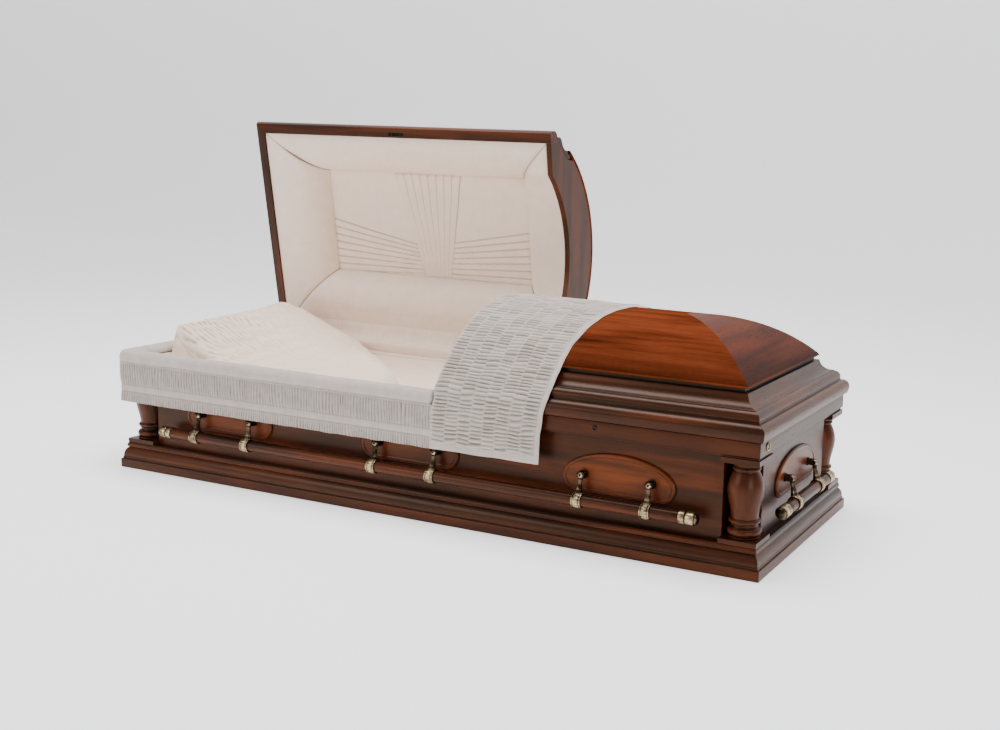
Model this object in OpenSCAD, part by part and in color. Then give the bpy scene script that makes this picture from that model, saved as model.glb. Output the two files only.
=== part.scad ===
// A full-size hardwood funeral casket: a moulded base, a panelled box with turned corner columns,
// a lid in two halves with a hipped, arched crown, swinging bar handles and a cloth interior.
// X runs from the head end (-) to the foot end (+), the front is at -Y, and Z is up.
// The origin is the middle of the underside. Moulding profiles are drawn as [inset from the
// base's edge, height above the floor].

/* [Base] */
// Length over the base moulding
base_l = 2134; // [1900:1:2300]
// Width over the base moulding
base_w = 758; // [660:1:860]
// Height of the base moulding
base_h = 80; // [66:1:100]
// Height of the plain band at the foot of the base moulding
base_band = 28; // [20:1:34]
// Inset of the top of the base moulding from its foot
base_step = 17; // [12:1:22]
// Depth of the base moulding, front to back
base_t = 66; // [62:1:90]
// Thickness of the bottom board
bottom_t = 18; // [12:1:24]

/* [Box] */
// Inset of the side and end panels from the base's edge
panel_set = 42; // [38:1:48]
// Thickness of the side and end panels
panel_t = 18; // [12:1:22]
// Height of the underside of the ledge moulding
ledge_z = 303; // [270:1:340]
// Height of the ledge moulding
ledge_h = 46; // [36:1:56]
// Inset of the ledge moulding's face
ledge_set = 17; // [14:1:22]

/* [Corner columns] */
// Side of the square plinth and cap blocks
block_w = 103; // [96:1:106]
// Thickness of the plinth block
plinth_h = 12; // [8:1:18]
// Thickness of the cap block
cap_h = 14; // [8:1:20]
// Largest radius of the turned column
urn_r = 47; // [38:0.5:47.5]

/* [Lids] */
// Distance of the split between the lids from the middle of the base
split_x = 105; // [0:1:250]
// Gap between the two lids
split_gap = 3; // [2:0.5:6]
// Gap between the box and the lids
lid_gap = 2.4; // [2.4:0.1:4]
// How far the head lid stands open
open_angle = 81.5; // [0:0.5:82]
// Height of the lid moulding, from the rim to the crown
lid_rail_h = 116; // [105:1:130]
// Radius of the torus along the lid's rim
torus_r = 22; // [16:0.5:22]
// Inset of the outermost line of the torus
torus_set = 4; // [2:0.5:8]
// Inset of the inner face of the rim
rim_in = 40; // [38:1:46]
// Inset of the crown's lower edge
crown_set = 79; // [70:1:90]
// Rise of the crown above its lower edge
crown_rise = 128; // [100:1:150]
// Thickness of the crown's panels
crown_t = 14; // [8:1:18]
// Depth of the shadow groove under the crown
groove_d = 12; // [6:1:16]
// Height of the shadow groove under the crown
groove_h = 11; // [6:1:16]
// Thickness of the arched boards at the split
header_t = 18; // [12:1:24]
// Half width of the arch cut in those boards
arch_half = 240; // [180:1:270]
// Rise of the arch
arch_rise = 85; // [60:1:95]

/* [Handles] */
// Height of the handle pivots
pivot_z = 200; // [180:1:205]
// Inset of the handle pivots
pivot_set = 17; // [16:0.5:22]
// Distance from a pivot down to the bar
swing = 66; // [60:1:72]
// How far the hanging arms lean out
lean = 12; // [6:0.5:14]
// Radius of the wooden bars
bar_r = 16; // [13:0.5:17]
// Distance from the base's ends to the middle of the outer handle pairs
pair_end = 411; // [377:1:467]
// Spacing of the two arms of a pair
arm_pitch = 197; // [160:1:230]
// Distance from the base's ends to a side bar's tips
side_bar_end = 167; // [152:1:190]
// Half length of an end bar, with its tips
end_bar = 226; // [200:1:240]
// Length of a brass tip
tip_l = 52; // [40:1:60]
// Half width of a plaque
plaque_half = 165; // [130:1:175]
// Height of a plaque
plaque_h = 114; // [90:1:125]
// Thickness of a plaque
plaque_t = 8; // [5:0.5:10]
// Height of a plaque's lower edge
plaque_z = 150; // [140:1:160]

/* [Interior] */
// Height of the bed's top
bed_z = 302; // [270:1:308]
// Thickness of the padded lining on the box walls
lining_t = 14; // [8:1:20]
// Height of the pillow's high edge above the bed
pillow_rise = 166; // [130:1:175]
// Depth of the lid's centre panel behind the rim
panel_depth = 90; // [80:1:96]
// Width of the lid's front and split puffs
puff_w = 131; // [110:1:150]
// Width of the lid's back and head puffs
wide_puff_w = 190; // [150:1:200]
// Height of the apron's stuffed roll above the ledge
roll_h = 26; // [18:1:30]
// Height of the apron's lower edge
apron_z = 215; // [212:1:240]
// How far the apron stands out beyond the base's edge
apron_out = 5; // [2:1:8]
// Thickness of the throw as it lies in gathers
throw_t = 9; // [5:1:12]
// Height of the throw's lower edge
throw_z = 214; // [212:1:260]
// Width of the throw where it hangs
throw_w = 335; // [250:1:400]

/* [Hidden] */
$fn = 48;
wood = [0.42, 0.22, 0.13];
brass = [0.66, 0.56, 0.38];
cream = [0.86, 0.82, 0.78];
far = 4000;                               // longer than anything in the model
touch = 0.3;                              // clearance of soft solids and running parts
half_l = base_l / 2;
half_w = base_w / 2;
box_z = ledge_z + ledge_h;                // top of the box
rim_z = box_z + lid_gap;                  // underside of the lids
crown_z = rim_z + lid_rail_h;             // lower edge of the crown
crown_half = half_w - crown_set;          // half the crown's span
crown_r = (crown_half * crown_half + crown_rise * crown_rise) / (2 * crown_rise);
arch_r = (arch_half * arch_half + arch_rise * arch_rise) / (2 * arch_rise);
head_cut = split_x - split_gap / 2;       // where the head lid ends
foot_cut = split_x + split_gap / 2;       // where the foot lid starts
ledge_t = panel_set + panel_t - ledge_set; // the ledge and the panels are flush inside
hinge_r = 3.2;
hinge_gap = 0.8;                          // from the box's back face to the hinge barrel
hinge_y = half_w - ledge_set + hinge_r + hinge_gap;
hinge_z = box_z + lid_gap / 2;
leaf_t = 0.9;
leaf_w = 26;
knuckle = 36;
hinge_l = 3 * knuckle;
head_hinges = [-780, -200];
foot_hinges = [330, 800];
notch = block_w + ledge_set;              // how far the corner notch reaches in
pair_pitch = half_l - pair_end;           // spacing of the handle pairs along a side
side_bar = half_l - side_bar_end;         // half length of a side bar, with its tips
panel_top = ledge_z;
groove_set = crown_set + groove_d;
cove_z = crown_z - groove_h;              // top of the lid moulding's cove
torus_u = torus_set + torus_r;
torus_z = rim_z + torus_r - 1.4;
ovolo_z = torus_z + torus_r + 5;
ovolo_w = 14;
ovolo_h = 22;
knob_r = 10;
pin_r = 3.5;
lug_w = 9;
clasp_l = 26;
clasp_t = 4.5;
strike_x = -477;
strike_l = 64;
strike_w = 16;
lock_x = 594;
lock_z = ledge_z + 29;
tube_y = 72;                              // tube cap's distance from the box's front edge

// ---- outlines ------------------------------------------------------------------------------

// n points of the arc that leaves the straight line from a to b by the sagitta s
function arc(a, b, s, n) =
    let (c = norm(b - a), r = (c * c / 4 + s * s) / (2 * abs(s)), along = (b - a) / c,
         side = [-along[1], along[0]] * sign(s))
    [for (i = [0 : n - 1])
        let (t = i / (n - 1), x = (t - 0.5) * c)
        a + along * (t * c) + side * (sqrt(r * r - x * x) - (r - abs(s)))];

// points of a circle about c from angle p to angle q
function turn(c, r, p, q, n) =
    [for (i = [0 : n - 1]) let (t = p + (q - p) * i / (n - 1)) c + r * [cos(t), sin(t)]];

// height of the crown's face above its lower edge at inset u
function crown_up(u, lift) =
    let (y = half_w - u) sqrt(pow(crown_r + lift, 2) - y * y) - (crown_r - crown_rise);

module base_profile() {
    cove_low = base_band + 6;
    cove_high = base_h - 14;
    polygon(concat(
        [[base_t, 0], [0, 0]],
        [[0, base_band]],
        turn([2.5, base_band + 2.5], 2.5, 180, 90, 4),
        arc([5, cove_low], [base_step, cove_high], 5, 8) ,
        [[base_step, base_h], [base_t, base_h]]));
}

module ledge_profile() {
    lip = 5;
    polygon(concat(
        [[ledge_set + ledge_t, ledge_z], [ledge_set + lip, ledge_z]],
        arc([ledge_set + lip, ledge_z + 1], [ledge_set, ledge_z + 9], -2, 5),
        [[ledge_set, box_z], [ledge_set + ledge_t, box_z]]));
}

module lid_rail_profile() {
    low = asin((rim_z - torus_z) / torus_r);
    ovolo_u = torus_u + ovolo_w;
    polygon(concat(
        [[rim_in, rim_z]],
        turn([torus_u, torus_z], torus_r, 180 - low, 90, 12),
        [[torus_u, ovolo_z]],
        arc([torus_u + 1, ovolo_z + 1], [ovolo_u, ovolo_z + ovolo_h], 4, 6),
        arc([ovolo_u + 3, ovolo_z + ovolo_h + 1], [crown_set, cove_z], -7, 8),
        [[groove_set, cove_z], [groove_set, crown_z], [groove_set + 14, crown_z],
         [groove_set + 14, cove_z], [rim_in, ovolo_z]]));
}

// section through the panels of the crown, from its lower edge to the ridge
module crown_profile() {
    edge = 4;
    u1 = half_w;
    steps = 18;
    polygon(concat(
        [[crown_set, crown_z]],
        [for (i = [0 : steps]) let (u = crown_set + (u1 - crown_set) * i / steps)
            [u, crown_z + max(edge, crown_up(u, 0) + edge)]],
        [for (i = [steps : -1 : 2]) let (u = crown_set + (u1 - crown_set) * i / steps)
            [u, crown_z + max(0, crown_up(u, 0) + edge - crown_t)]],
        [[groove_set + 14, crown_z]]));
}

// ---- frames --------------------------------------------------------------------------------

// puts a thing drawn for the front edge (base's edge at y = 0, inwards +y) on any side
module on_side(side) {
    if (side == "front") translate([0, -half_w, 0]) children();
    if (side == "back") rotate([0, 0, 180]) translate([0, -half_w, 0]) children();
    if (side == "foot") rotate([0, 0, 90]) translate([0, -half_l, 0]) children();
    if (side == "head") rotate([0, 0, -90]) translate([0, -half_l, 0]) children();
}

// a length of moulding along X, its ends cut to the points of a trapezium
module rail(len, depth, cut_a, cut_b) {
    intersection() {
        translate([-len / 2, 0, 0]) rotate([90, 0, 90]) linear_extrude(height = len) children();
        linear_extrude(height = far)
            polygon([[-len / 2, 0], [len / 2, 0], [len / 2 - cut_b, depth], [-len / 2 + cut_a, depth]]);
    }
}

// one mitred side of a frame as large as the base
module mitred(side, depth) {
    len = (side == "front" || side == "back") ? base_l : base_w;
    on_side(side) rail(len, depth, depth, depth) children();
}

module keep_x(x0, x1) {
    intersection() {
        children();
        translate([x0, -far / 2, -far / 2]) cube([x1 - x0, far, far]);
    }
}

// the four corners: children drawn for the corner at +x, -y with its edges on the axes
module at_corner(sx, sy) {
    translate([sx * half_l, sy * half_w, 0]) mirror([sx < 0 ? 1 : 0, 0, 0])
        mirror([0, sy > 0 ? 1 : 0, 0]) children();
}

module each_corner() {
    for (sx = [-1, 1]) for (sy = [-1, 1]) at_corner(sx, sy) children();
}

// swings a lid open about the hinge line
module opened(angle) {
    translate([0, hinge_y, hinge_z]) rotate([-angle, 0, 0]) translate([0, -hinge_y, -hinge_z])
        children();
}

// ---- base and box --------------------------------------------------------------------------

module bottom_board() {
    color(wood) translate([-half_l + base_t, -half_w + base_t, 0])
        cube([base_l - 2 * base_t, base_w - 2 * base_t, bottom_t]);
}

module base_moulding(side) {
    color(wood) mitred(side, base_t) base_profile();
}

module panel(side) {
    len = 2 * ((side == "front" || side == "back" ? half_l : half_w) - notch);
    color(wood) on_side(side) translate([-len / 2, panel_set, base_h])
        cube([len, panel_t, panel_top - base_h]);
}

// an L of two boards that lines the notch behind a column
module corner_posts() {
    color(wood) each_corner() translate([0, 0, base_h]) linear_extrude(height = panel_top - base_h)
        polygon([
            [-notch, panel_set + panel_t], [-notch, notch], [-panel_set - panel_t, notch],
            [-panel_set - panel_t, notch + panel_t], [-notch - panel_t, notch + panel_t],
            [-notch - panel_t, panel_set + panel_t]]);
}

module block(z0, h) {
    translate([-ledge_set - block_w, ledge_set, z0]) cube([block_w, block_w, h]);
}

module corner_plinths() {
    color(wood) each_corner() block(base_h, plinth_h);
}

module corner_caps() {
    color(wood) each_corner() block(ledge_z - cap_h, cap_h);
}

module column(sx, sy) {
    z0 = base_h + plinth_h;
    h = ledge_z - cap_h - z0;
    torus_h = 0.11 * h;
    torus_c = min(0.84 * urn_r, block_w / 2 - 1 - torus_h / 2);
    waist_r = 0.76 * urn_r;
    vase_low = 0.27 * h;
    vase_high = 0.87 * h;
    belly = 0.63 * h;
    foot = 0.03 * h;
    below = [for (i = [0 : 8]) let (t = i / 8)
        [waist_r + (urn_r - waist_r) * (1 - cos(180 * t)) / 2, vase_low + (belly - vase_low) * t]];
    above = [for (i = [1 : 6]) let (t = i / 6)
        [urn_r - (urn_r - 0.74 * urn_r) * (1 - cos(90 * t)), belly + (vase_high - belly) * sin(90 * t)]];
    color(wood) at_corner(sx, sy)
        translate([-ledge_set - block_w / 2, ledge_set + block_w / 2, z0])
            rotate_extrude($fn = 64) polygon(concat(
                [[0, 0], [0.9 * urn_r, 0], [0.9 * urn_r, foot]],
                turn([torus_c, foot + torus_h / 2], torus_h / 2, -80, 80, 7),
                [[0.74 * urn_r, foot + torus_h + 3], [0.74 * urn_r, vase_low - 14]],
                turn([0.76 * urn_r, vase_low - 7], 5.5, -80, 80, 6),
                below, above,
                [[0.74 * urn_r, vase_high + 2]],
                turn([0.72 * urn_r, vase_high + 8], 5, -80, 80, 6),
                [[0.7 * urn_r, h], [0, h]]));
}

module ledge(side) {
    color(wood) mitred(side, ledge_set + ledge_t) ledge_profile();
}

// ---- plaques and handles -------------------------------------------------------------------

module plaque() {
    corner = 40;
    dome = plaque_h - corner;
    outline = concat(
        [for (t = [0 : 7.5 : 180]) [plaque_half * cos(t), corner + dome * sin(t)]],
        turn([-plaque_half + corner, corner], corner, 187.5, 270, 7),
        turn([plaque_half - corner, corner], corner, 270, 352.5, 7));
    translate([0, panel_set, plaque_z]) rotate([90, 0, 0])
        linear_extrude(height = plaque_t) polygon(outline);
}

function pairs(side) = (side == "front" || side == "back") ? [-pair_pitch, 0, pair_pitch] : [0];

function arms(side) =
    [for (p = pairs(side)) for (s = [-1, 1]) p + s * arm_pitch / 2];

function bar_half(side) = (side == "front" || side == "back") ? side_bar : end_bar;

module plaques(side) {
    color(wood) on_side(side) for (x = pairs(side)) translate([x, 0, 0]) plaque();
}

module lug() {
    ear_gap = knob_r * 0.62 + touch;
    back = panel_set - plaque_t - pivot_set;
    for (s = [-1, 1]) translate([s * (ear_gap + lug_w / 4), 0, 0]) {
        rotate([0, 90, 0]) cylinder(r = knob_r * 0.72, h = lug_w / 2, center = true);
        translate([-lug_w / 4, 0, -knob_r * 0.72]) cube([lug_w / 2, back, knob_r * 1.44]);
    }
    translate([0, back, 0]) rotate([90, 0, 0]) cylinder(r = knob_r * 1.25, h = 3);
    rotate([0, 90, 0]) cylinder(r = pin_r, h = 2 * ear_gap + lug_w, center = true);
}

module handle_lugs() {
    color(brass) for (side = ["front", "back", "head", "foot"]) on_side(side)
        for (x = arms(side)) translate([x, pivot_set, pivot_z]) lug();
}

// hung parts are drawn about the pivot, straight down, then leant out
module hung(side) {
    on_side(side) translate([0, pivot_set, pivot_z]) rotate([-lean, 0, 0]) children();
}

module bar(side) {
    len = 2 * (bar_half(side) - tip_l);
    color(wood) hung(side) translate([0, 0, -swing]) rotate([0, 90, 0])
        cylinder(r = bar_r, h = len, center = true);
}

module arm() {
    neck_r = 5.5;
    difference() {
        union() {
            rotate([0, 90, 0]) cylinder(r = knob_r, h = 1.24 * knob_r, center = true);
            translate([0, 0, -swing + bar_r + 1]) cylinder(r1 = 9, r2 = neck_r, h = swing - bar_r - 1);
            translate([0, 0, -swing]) rotate([0, 90, 0])
                rotate_extrude($fn = 48) polygon([
                    [bar_r + 0.1, -clasp_l / 2], [bar_r + clasp_t - 1, -clasp_l / 2],
                    [bar_r + clasp_t, -clasp_l / 4], [bar_r + clasp_t - 1.5, 0],
                    [bar_r + clasp_t, clasp_l / 4], [bar_r + clasp_t - 1, clasp_l / 2],
                    [bar_r + 0.1, clasp_l / 2]]);
        }
        rotate([0, 90, 0]) cylinder(r = pin_r + touch, h = 4 * knob_r, center = true);
    }
}

module bar_tip() {
    dome = 12;
    tube = tip_l - dome;
    rotate_extrude($fn = 48) polygon(concat(
        [[0, 0], [bar_r + 1.5, 0], [bar_r + 1.5, 0.3 * tube], [bar_r, 0.36 * tube],
         [bar_r + 1.5, 0.42 * tube], [bar_r + 1.5, 0.9 * tube], [bar_r - 1, tube]],
        [for (t = [15 : 15 : 75]) [(bar_r - 1) * cos(t), tube + dome * sin(t)]],
        [[0, tip_l]]));
}

module handle_arms(side) {
    color(brass) hung(side) {
        for (x = arms(side)) translate([x, 0, 0]) arm();
        for (s = [-1, 1]) translate([s * (bar_half(side) - tip_l), 0, -swing])
            rotate([0, s * 90, 0]) bar_tip();
    }
}

module key_escutcheon() {
    color(brass) translate([lock_x, -half_w + ledge_set, lock_z]) rotate([90, 0, 0])
        rotate_extrude() polygon([[3, 0], [9, 0], [9, 1], [6.5, 2.2], [3, 2.2]]);
}

module record_tube_cap() {
    color(brass) translate([half_l - ledge_set, -half_w + tube_y, box_z - 18]) rotate([0, 90, 0])
        rotate_extrude() polygon([[0, 0], [11, 0], [11, 2.5], [8.5, 3], [8, 1.2], [0, 1.2]]);
}

// ---- hinges --------------------------------------------------------------------------------

module barrel(x0, x1) {
    translate([x0, hinge_y, hinge_z]) rotate([0, 90, 0]) cylinder(r = hinge_r, h = x1 - x0);
}

// one leaf lies on the box, or under the lid, and reaches out to its knuckles
module leaf(x, z0, spans) {
    translate([x - hinge_l / 2, hinge_y - leaf_w, z0]) cube([hinge_l, leaf_w - hinge_r - 0.6, leaf_t]);
    for (s = spans) {
        translate([x + s[0], hinge_y - hinge_r - 1, z0]) cube([s[1] - s[0], hinge_r, leaf_t]);
        barrel(x + s[0], x + s[1]);
    }
}

module box_hinge_leaves() {
    ends = [[-hinge_l / 2, -knuckle / 2 - touch], [knuckle / 2 + touch, hinge_l / 2]];
    color(brass) for (x = concat(head_hinges, foot_hinges)) {
        leaf(x, box_z, ends);
        translate([x - hinge_l / 2, hinge_y, hinge_z]) rotate([0, 90, 0])
            cylinder(r = hinge_r / 2, h = hinge_l);
    }
}

module lid_leaves(places) {
    difference() {
        for (x = places) leaf(x, rim_z - leaf_t, [[-knuckle / 2, knuckle / 2]]);
        for (x = places) translate([x - hinge_l / 2, hinge_y, hinge_z]) rotate([0, 90, 0])
            cylinder(r = hinge_r / 2 + touch, h = hinge_l);
    }
}

// ---- lids ----------------------------------------------------------------------------------

module lid_rails(end, x0, x1) {
    color(wood) keep_x(x0, x1)
        for (side = ["front", "back", end]) mitred(side, groove_set + 14) lid_rail_profile();
}

module lid_crown(end, x0, x1) {
    color(wood) keep_x(x0, x1)
        for (side = ["front", "back", end]) mitred(side, half_w) crown_profile();
}

// the arch at the split, lifted by a margin m
function arch(m) =
    [for (i = [0 : 16]) let (y = arch_half * (2 * i / 16 - 1))
        [y, rim_z + m + sqrt(arch_r * arch_r - y * y) - (arch_r - arch_rise)]];

// the arched board: it fills the lid's end behind the moulding and under the crown
module header(x0) {
    inner = half_w - rim_in - touch;
    under = crown_z + 4 - crown_t - touch;
    steps = 24;
    top = [for (i = [0 : steps]) let (y = crown_half * 0.88 * (1 - 2 * i / steps))
        [y, max(cove_z - 1, under + crown_up(half_w - abs(y), 0))]];
    shoulder = half_w - groove_set - 14 - touch;
    color(wood) translate([x0, 0, 0]) rotate([90, 0, 90]) linear_extrude(height = header_t)
        polygon(concat(
            [[inner, rim_z], [inner, ovolo_z - 2]], [[shoulder, cove_z - 3]], top,
            [[-shoulder, cove_z - 3]], [[-inner, ovolo_z - 2], [-inner, rim_z]], arch(0)));
}

// a stuffed roll from the rim (u = 0) up to the centre panel's edge (u = w)
module puff_profile(w) {
    deep = panel_depth;
    polygon(concat(
        arc([0, 6], [0.3 * w, 2], -1, 3),
        arc([0.4 * w, 2.5], [w, deep - 2], -0.16 * w, 9),
        [[w, deep + 8], [0.75 * w, deep + 8], [0.28 * w, 44], [0, 40]]));
}

// four rolls around the rectangle x0..x1, y0..y1, with widths for the head, foot, front and back
module puffs(x0, x1, y0, y1, wh, wf, wb) {
    lx = x1 - x0;
    ly = y1 - y0;
    mx = (x0 + x1) / 2;
    my = (y0 + y1) / 2;
    translate([mx, my, rim_z]) {
        translate([0, -ly / 2, 0]) rail(lx, puff_w, wh, wf) puff_profile(puff_w);
        rotate([0, 0, 180]) translate([0, -ly / 2, 0]) rail(lx, wb, wf, wh) puff_profile(wb);
        rotate([0, 0, -90]) translate([0, -lx / 2, 0]) rail(ly, wh, wb, puff_w) puff_profile(wh);
        rotate([0, 0, 90]) translate([0, -lx / 2, 0]) rail(ly, wf, puff_w, wb) puff_profile(wf);
    }
}

// at the split the cloth leaves the arch's edge free: the space under the arch is cut away and
// the cut is lined
module along_arch(x0) {
    module under(m) {
        translate([x0, 0, 0]) rotate([90, 0, 90]) linear_extrude(height = puff_w)
            polygon(concat([[-arch_half, rim_z - 1]], arch(m), [[arch_half, rim_z - 1]]));
    }
    difference() {
        children();
        under(0);
    }
    difference() {
        under(4);
        under(0);
        translate([x0 - 1, -far / 2, rim_z - 2]) cube([puff_w + 2, far, 6.5]);
    }
}

inner_y = half_w - rim_in - touch;
head_in = [-half_l + rim_in + touch, head_cut - header_t - touch];
foot_in = [foot_cut + header_t + touch, half_l - rim_in - touch];

module centre_panel(x0, x1, y0, y1) {
    translate([x0 + touch, y0 + touch, rim_z + panel_depth])
        cube([x1 - x0 - 2 * touch, y1 - y0 - 2 * touch, 6]);
}

module head_lid_rails() { opened(open_angle) lid_rails("head", -half_l, head_cut); }

module head_lid_crown() { opened(open_angle) lid_crown("head", -half_l, head_cut); }

module head_lid_header() { opened(open_angle) header(head_cut - header_t); }

module head_lid_hinge_leaves() { color(brass) opened(open_angle) lid_leaves(head_hinges); }

module strike_plate() {
    thick = 1.6;
    color([0.15, 0.12, 0.1]) opened(open_angle)
        translate([strike_x, -half_w + (rim_in + torus_u - 8) / 2, rim_z - thick])
            linear_extrude(height = thick) union() {
                square([strike_l - strike_w, strike_w], center = true);
                for (s = [-1, 1]) translate([s * (strike_l - strike_w) / 2, 0])
                    circle(d = strike_w);
            }
}

module head_lid_puffs() {
    color(cream) opened(open_angle) along_arch(head_in[1] - puff_w)
        puffs(head_in[0], head_in[1], -inner_y, inner_y, wide_puff_w, puff_w, wide_puff_w);
}

module head_lid_panel() {
    color(cream) opened(open_angle) centre_panel(head_in[0] + wide_puff_w, head_in[1] - puff_w,
        -inner_y + puff_w, inner_y - wide_puff_w);
}

module foot_lid_rails() { lid_rails("foot", foot_cut, half_l); }

module foot_lid_crown() { lid_crown("foot", foot_cut, half_l); }

module foot_lid_header() { header(foot_cut); }

module foot_lid_hinge_leaves() { color(brass) lid_leaves(foot_hinges); }

module foot_lid_puffs() {
    color(cream) along_arch(foot_in[0])
        puffs(foot_in[0], foot_in[1], -inner_y, inner_y, puff_w, wide_puff_w, wide_puff_w);
}

module foot_lid_panel() {
    color(cream) centre_panel(foot_in[0] + puff_w, foot_in[1] - wide_puff_w,
        -inner_y + puff_w, inner_y - wide_puff_w);
}

// ---- interior ------------------------------------------------------------------------------

wall_in = panel_set + panel_t;            // inset of the box's inner faces
post_in = notch + panel_t;                // inset of the corner posts' inner faces
pad_h = 15;                               // thickness of the pads over the corner caps

// plan of the space inside the box, a margin m in from its walls, with its corners notched
module inside(m) {
    difference() {
        square([base_l - 2 * (wall_in + m), base_w - 2 * (wall_in + m)], center = true);
        for (sx = [-1, 1]) for (sy = [-1, 1])
            translate([sx * half_l, sy * half_w]) square(2 * (post_in + m), center = true);
    }
}

// padded walls, and pads that cover the posts and caps in the corners
module box_lining() {
    low = base_h + touch;
    pad_z = ledge_z + touch;
    pad_w = post_in - ledge_set - ledge_t - touch;
    color(cream) {
        translate([0, 0, low]) linear_extrude(height = pad_z + pad_h - low) difference() {
            inside(touch);
            inside(lining_t);
        }
        each_corner() translate([-post_in - touch, ledge_set + ledge_t + touch, pad_z])
            cube([pad_w, pad_w, pad_h]);
    }
}

module bed() {
    color(cream) translate([0, 0, bottom_t]) linear_extrude(height = bed_z - bottom_t)
        inside(lining_t + touch);
}

// a wedge, high at the head, under a plan with one long curved edge towards the foot
module pillow() {
    x0 = -half_l + wall_in + lining_t + 2;
    y1 = half_w - wall_in - lining_t - 7;
    z0 = bed_z + touch;
    tail = 900;                           // length of the wedge
    color(cream) difference() {
        intersection() {
            translate([0, far / 2, 0]) rotate([90, 0, 0]) linear_extrude(height = far)
                polygon(concat(
                    [[x0, z0], [x0, z0 + 0.7 * pillow_rise]],
                    arc([x0 + 12, bed_z + 0.94 * pillow_rise], [x0 + 60, bed_z + pillow_rise], 5, 4),
                    arc([x0 + 90, bed_z + 0.96 * pillow_rise], [x0 + 340, bed_z + 0.36 * pillow_rise],
                        -12, 8),
                    [[x0 + tail, bed_z + 0.24 * pillow_rise], [x0 + tail, z0]]));
            linear_extrude(height = far) polygon(concat(
                [[x0, -y1], [-110, -y1]],
                arc([-100, -y1 + 14], [-620, y1], -60, 10),
                [[x0, y1]]));
        }
        each_corner() translate([-post_in - lining_t - touch, 0, 0])
            cube([far, post_in + lining_t + touch, ledge_z + pad_h + 2 * touch]);
    }
}

// ---- cloths --------------------------------------------------------------------------------

roll_in = ledge_set + ledge_t - 6;
apron_x = split_x - 2;

module roll_profile() {
    half = (roll_in + apron_out) / 2;
    mid = (roll_in - apron_out) / 2;
    polygon(concat(
        [[roll_in, box_z + touch]],
        [[-apron_out, box_z + touch]],
        [for (t = [165 : -15 : 15]) [mid + half * cos(t), box_z + touch + roll_h * pow(sin(t), 0.7)]]));
}

module skirt_profile() {
    polygon([[-apron_out, apron_z], [ledge_set - 1.5, apron_z], [ledge_set - 1.5, box_z - touch],
             [-apron_out, box_z - touch]]);
}

// the cloth runs along the front of the open half and round the head end
module apron(depth) {
    out = apron_out;
    len = base_l + 2 * out;
    color(cream) keep_x(-far / 2, apron_x) {
        intersection() {
            on_side("front") translate([-len / 2, 0, 0]) rotate([90, 0, 90])
                linear_extrude(height = len) children();
            linear_extrude(height = far) polygon([[-half_l - out, -half_w - out],
                [half_l, -half_w - out], [half_l, -half_w + depth], [-half_l + depth, -half_w + depth]]);
        }
        intersection() {
            on_side("head") translate([-half_w - out, 0, 0]) rotate([90, 0, 90])
                linear_extrude(height = base_w) children();
            linear_extrude(height = far) polygon([[-half_l - out, -half_w - out],
                [-half_l + depth, -half_w + depth], [-half_l + depth, half_w - 50],
                [-half_l - out, half_w - 50]]);
        }
    }
}

module apron_roll() { apron(roll_in) roll_profile(); }

module apron_skirt() { apron(ledge_set) skirt_profile(); }

// the throw lies over the crown and hangs down the front of the foot lid
module throw() {
    over = 110;                           // how far it reaches past the ridge
    hang = torus_set - 1;                 // inset of the cloth where it hangs
    steps = 24;
    u1 = half_w + over;
    face = [for (i = [0 : steps]) let (u = crown_set + (u1 - crown_set) * i / steps)
        [u, crown_z + 4 + 3 * touch + crown_up(u, 0)]];
    back = [for (i = [steps : -1 : 0]) let (u = crown_set - 4 + (u1 - crown_set + 4) * i / steps)
        [u, crown_z + 4 + throw_t + crown_up(max(u, crown_set), 0)]];
    x0 = foot_cut + 4;
    x1 = x0 + throw_w;
    color(cream) intersection() {
        translate([-half_l, -half_w, 0]) rotate([90, 0, 90]) linear_extrude(height = base_l)
            polygon(concat(
                [[hang, throw_z], [hang, torus_z + 12], [crown_set - 3, crown_z + 2]], face, back,
                [[hang - throw_t, torus_z + 18], [hang - throw_t, throw_z]]));
        linear_extrude(height = far) polygon([[x0, -half_w - 50], [x1, -half_w - 50],
            [x1 + 15, -crown_half], [x1 + 100, 0], [x1 + 130, over], [x0, over]]);
    }
}

// ---- the whole casket ----------------------------------------------------------------------

bottom_board();
base_moulding("front");  // base_moulding_front
base_moulding("back");  // base_moulding_back
base_moulding("head");  // base_moulding_head
base_moulding("foot");  // base_moulding_foot
panel("front");  // side_panel_front
panel("back");  // side_panel_back
panel("head");  // end_panel_head
panel("foot");  // end_panel_foot
corner_posts();
corner_plinths();
column(-1, -1);  // column_front_head
column(1, -1);  // column_front_foot
column(-1, 1);  // column_back_head
column(1, 1);  // column_back_foot
corner_caps();
ledge("front");  // ledge_front
ledge("back");  // ledge_back
ledge("head");  // ledge_head
ledge("foot");  // ledge_foot
plaques("front");  // plaques_front
plaques("back");  // plaques_back
plaques("head");  // plaque_head
plaques("foot");  // plaque_foot
handle_lugs();
bar("front");  // bar_front
bar("back");  // bar_back
bar("head");  // bar_head
bar("foot");  // bar_foot
handle_arms("front");  // arms_front
handle_arms("back");  // arms_back
handle_arms("head");  // arms_head
handle_arms("foot");  // arms_foot
key_escutcheon();
record_tube_cap();
box_hinge_leaves();
head_lid_rails();
head_lid_crown();
head_lid_header();
head_lid_hinge_leaves();
strike_plate();
head_lid_puffs();
head_lid_panel();
foot_lid_rails();
foot_lid_crown();
foot_lid_header();
foot_lid_hinge_leaves();
foot_lid_puffs();
foot_lid_panel();
bed();
pillow();
box_lining();
apron_roll();
apron_skirt();
throw();
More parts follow.
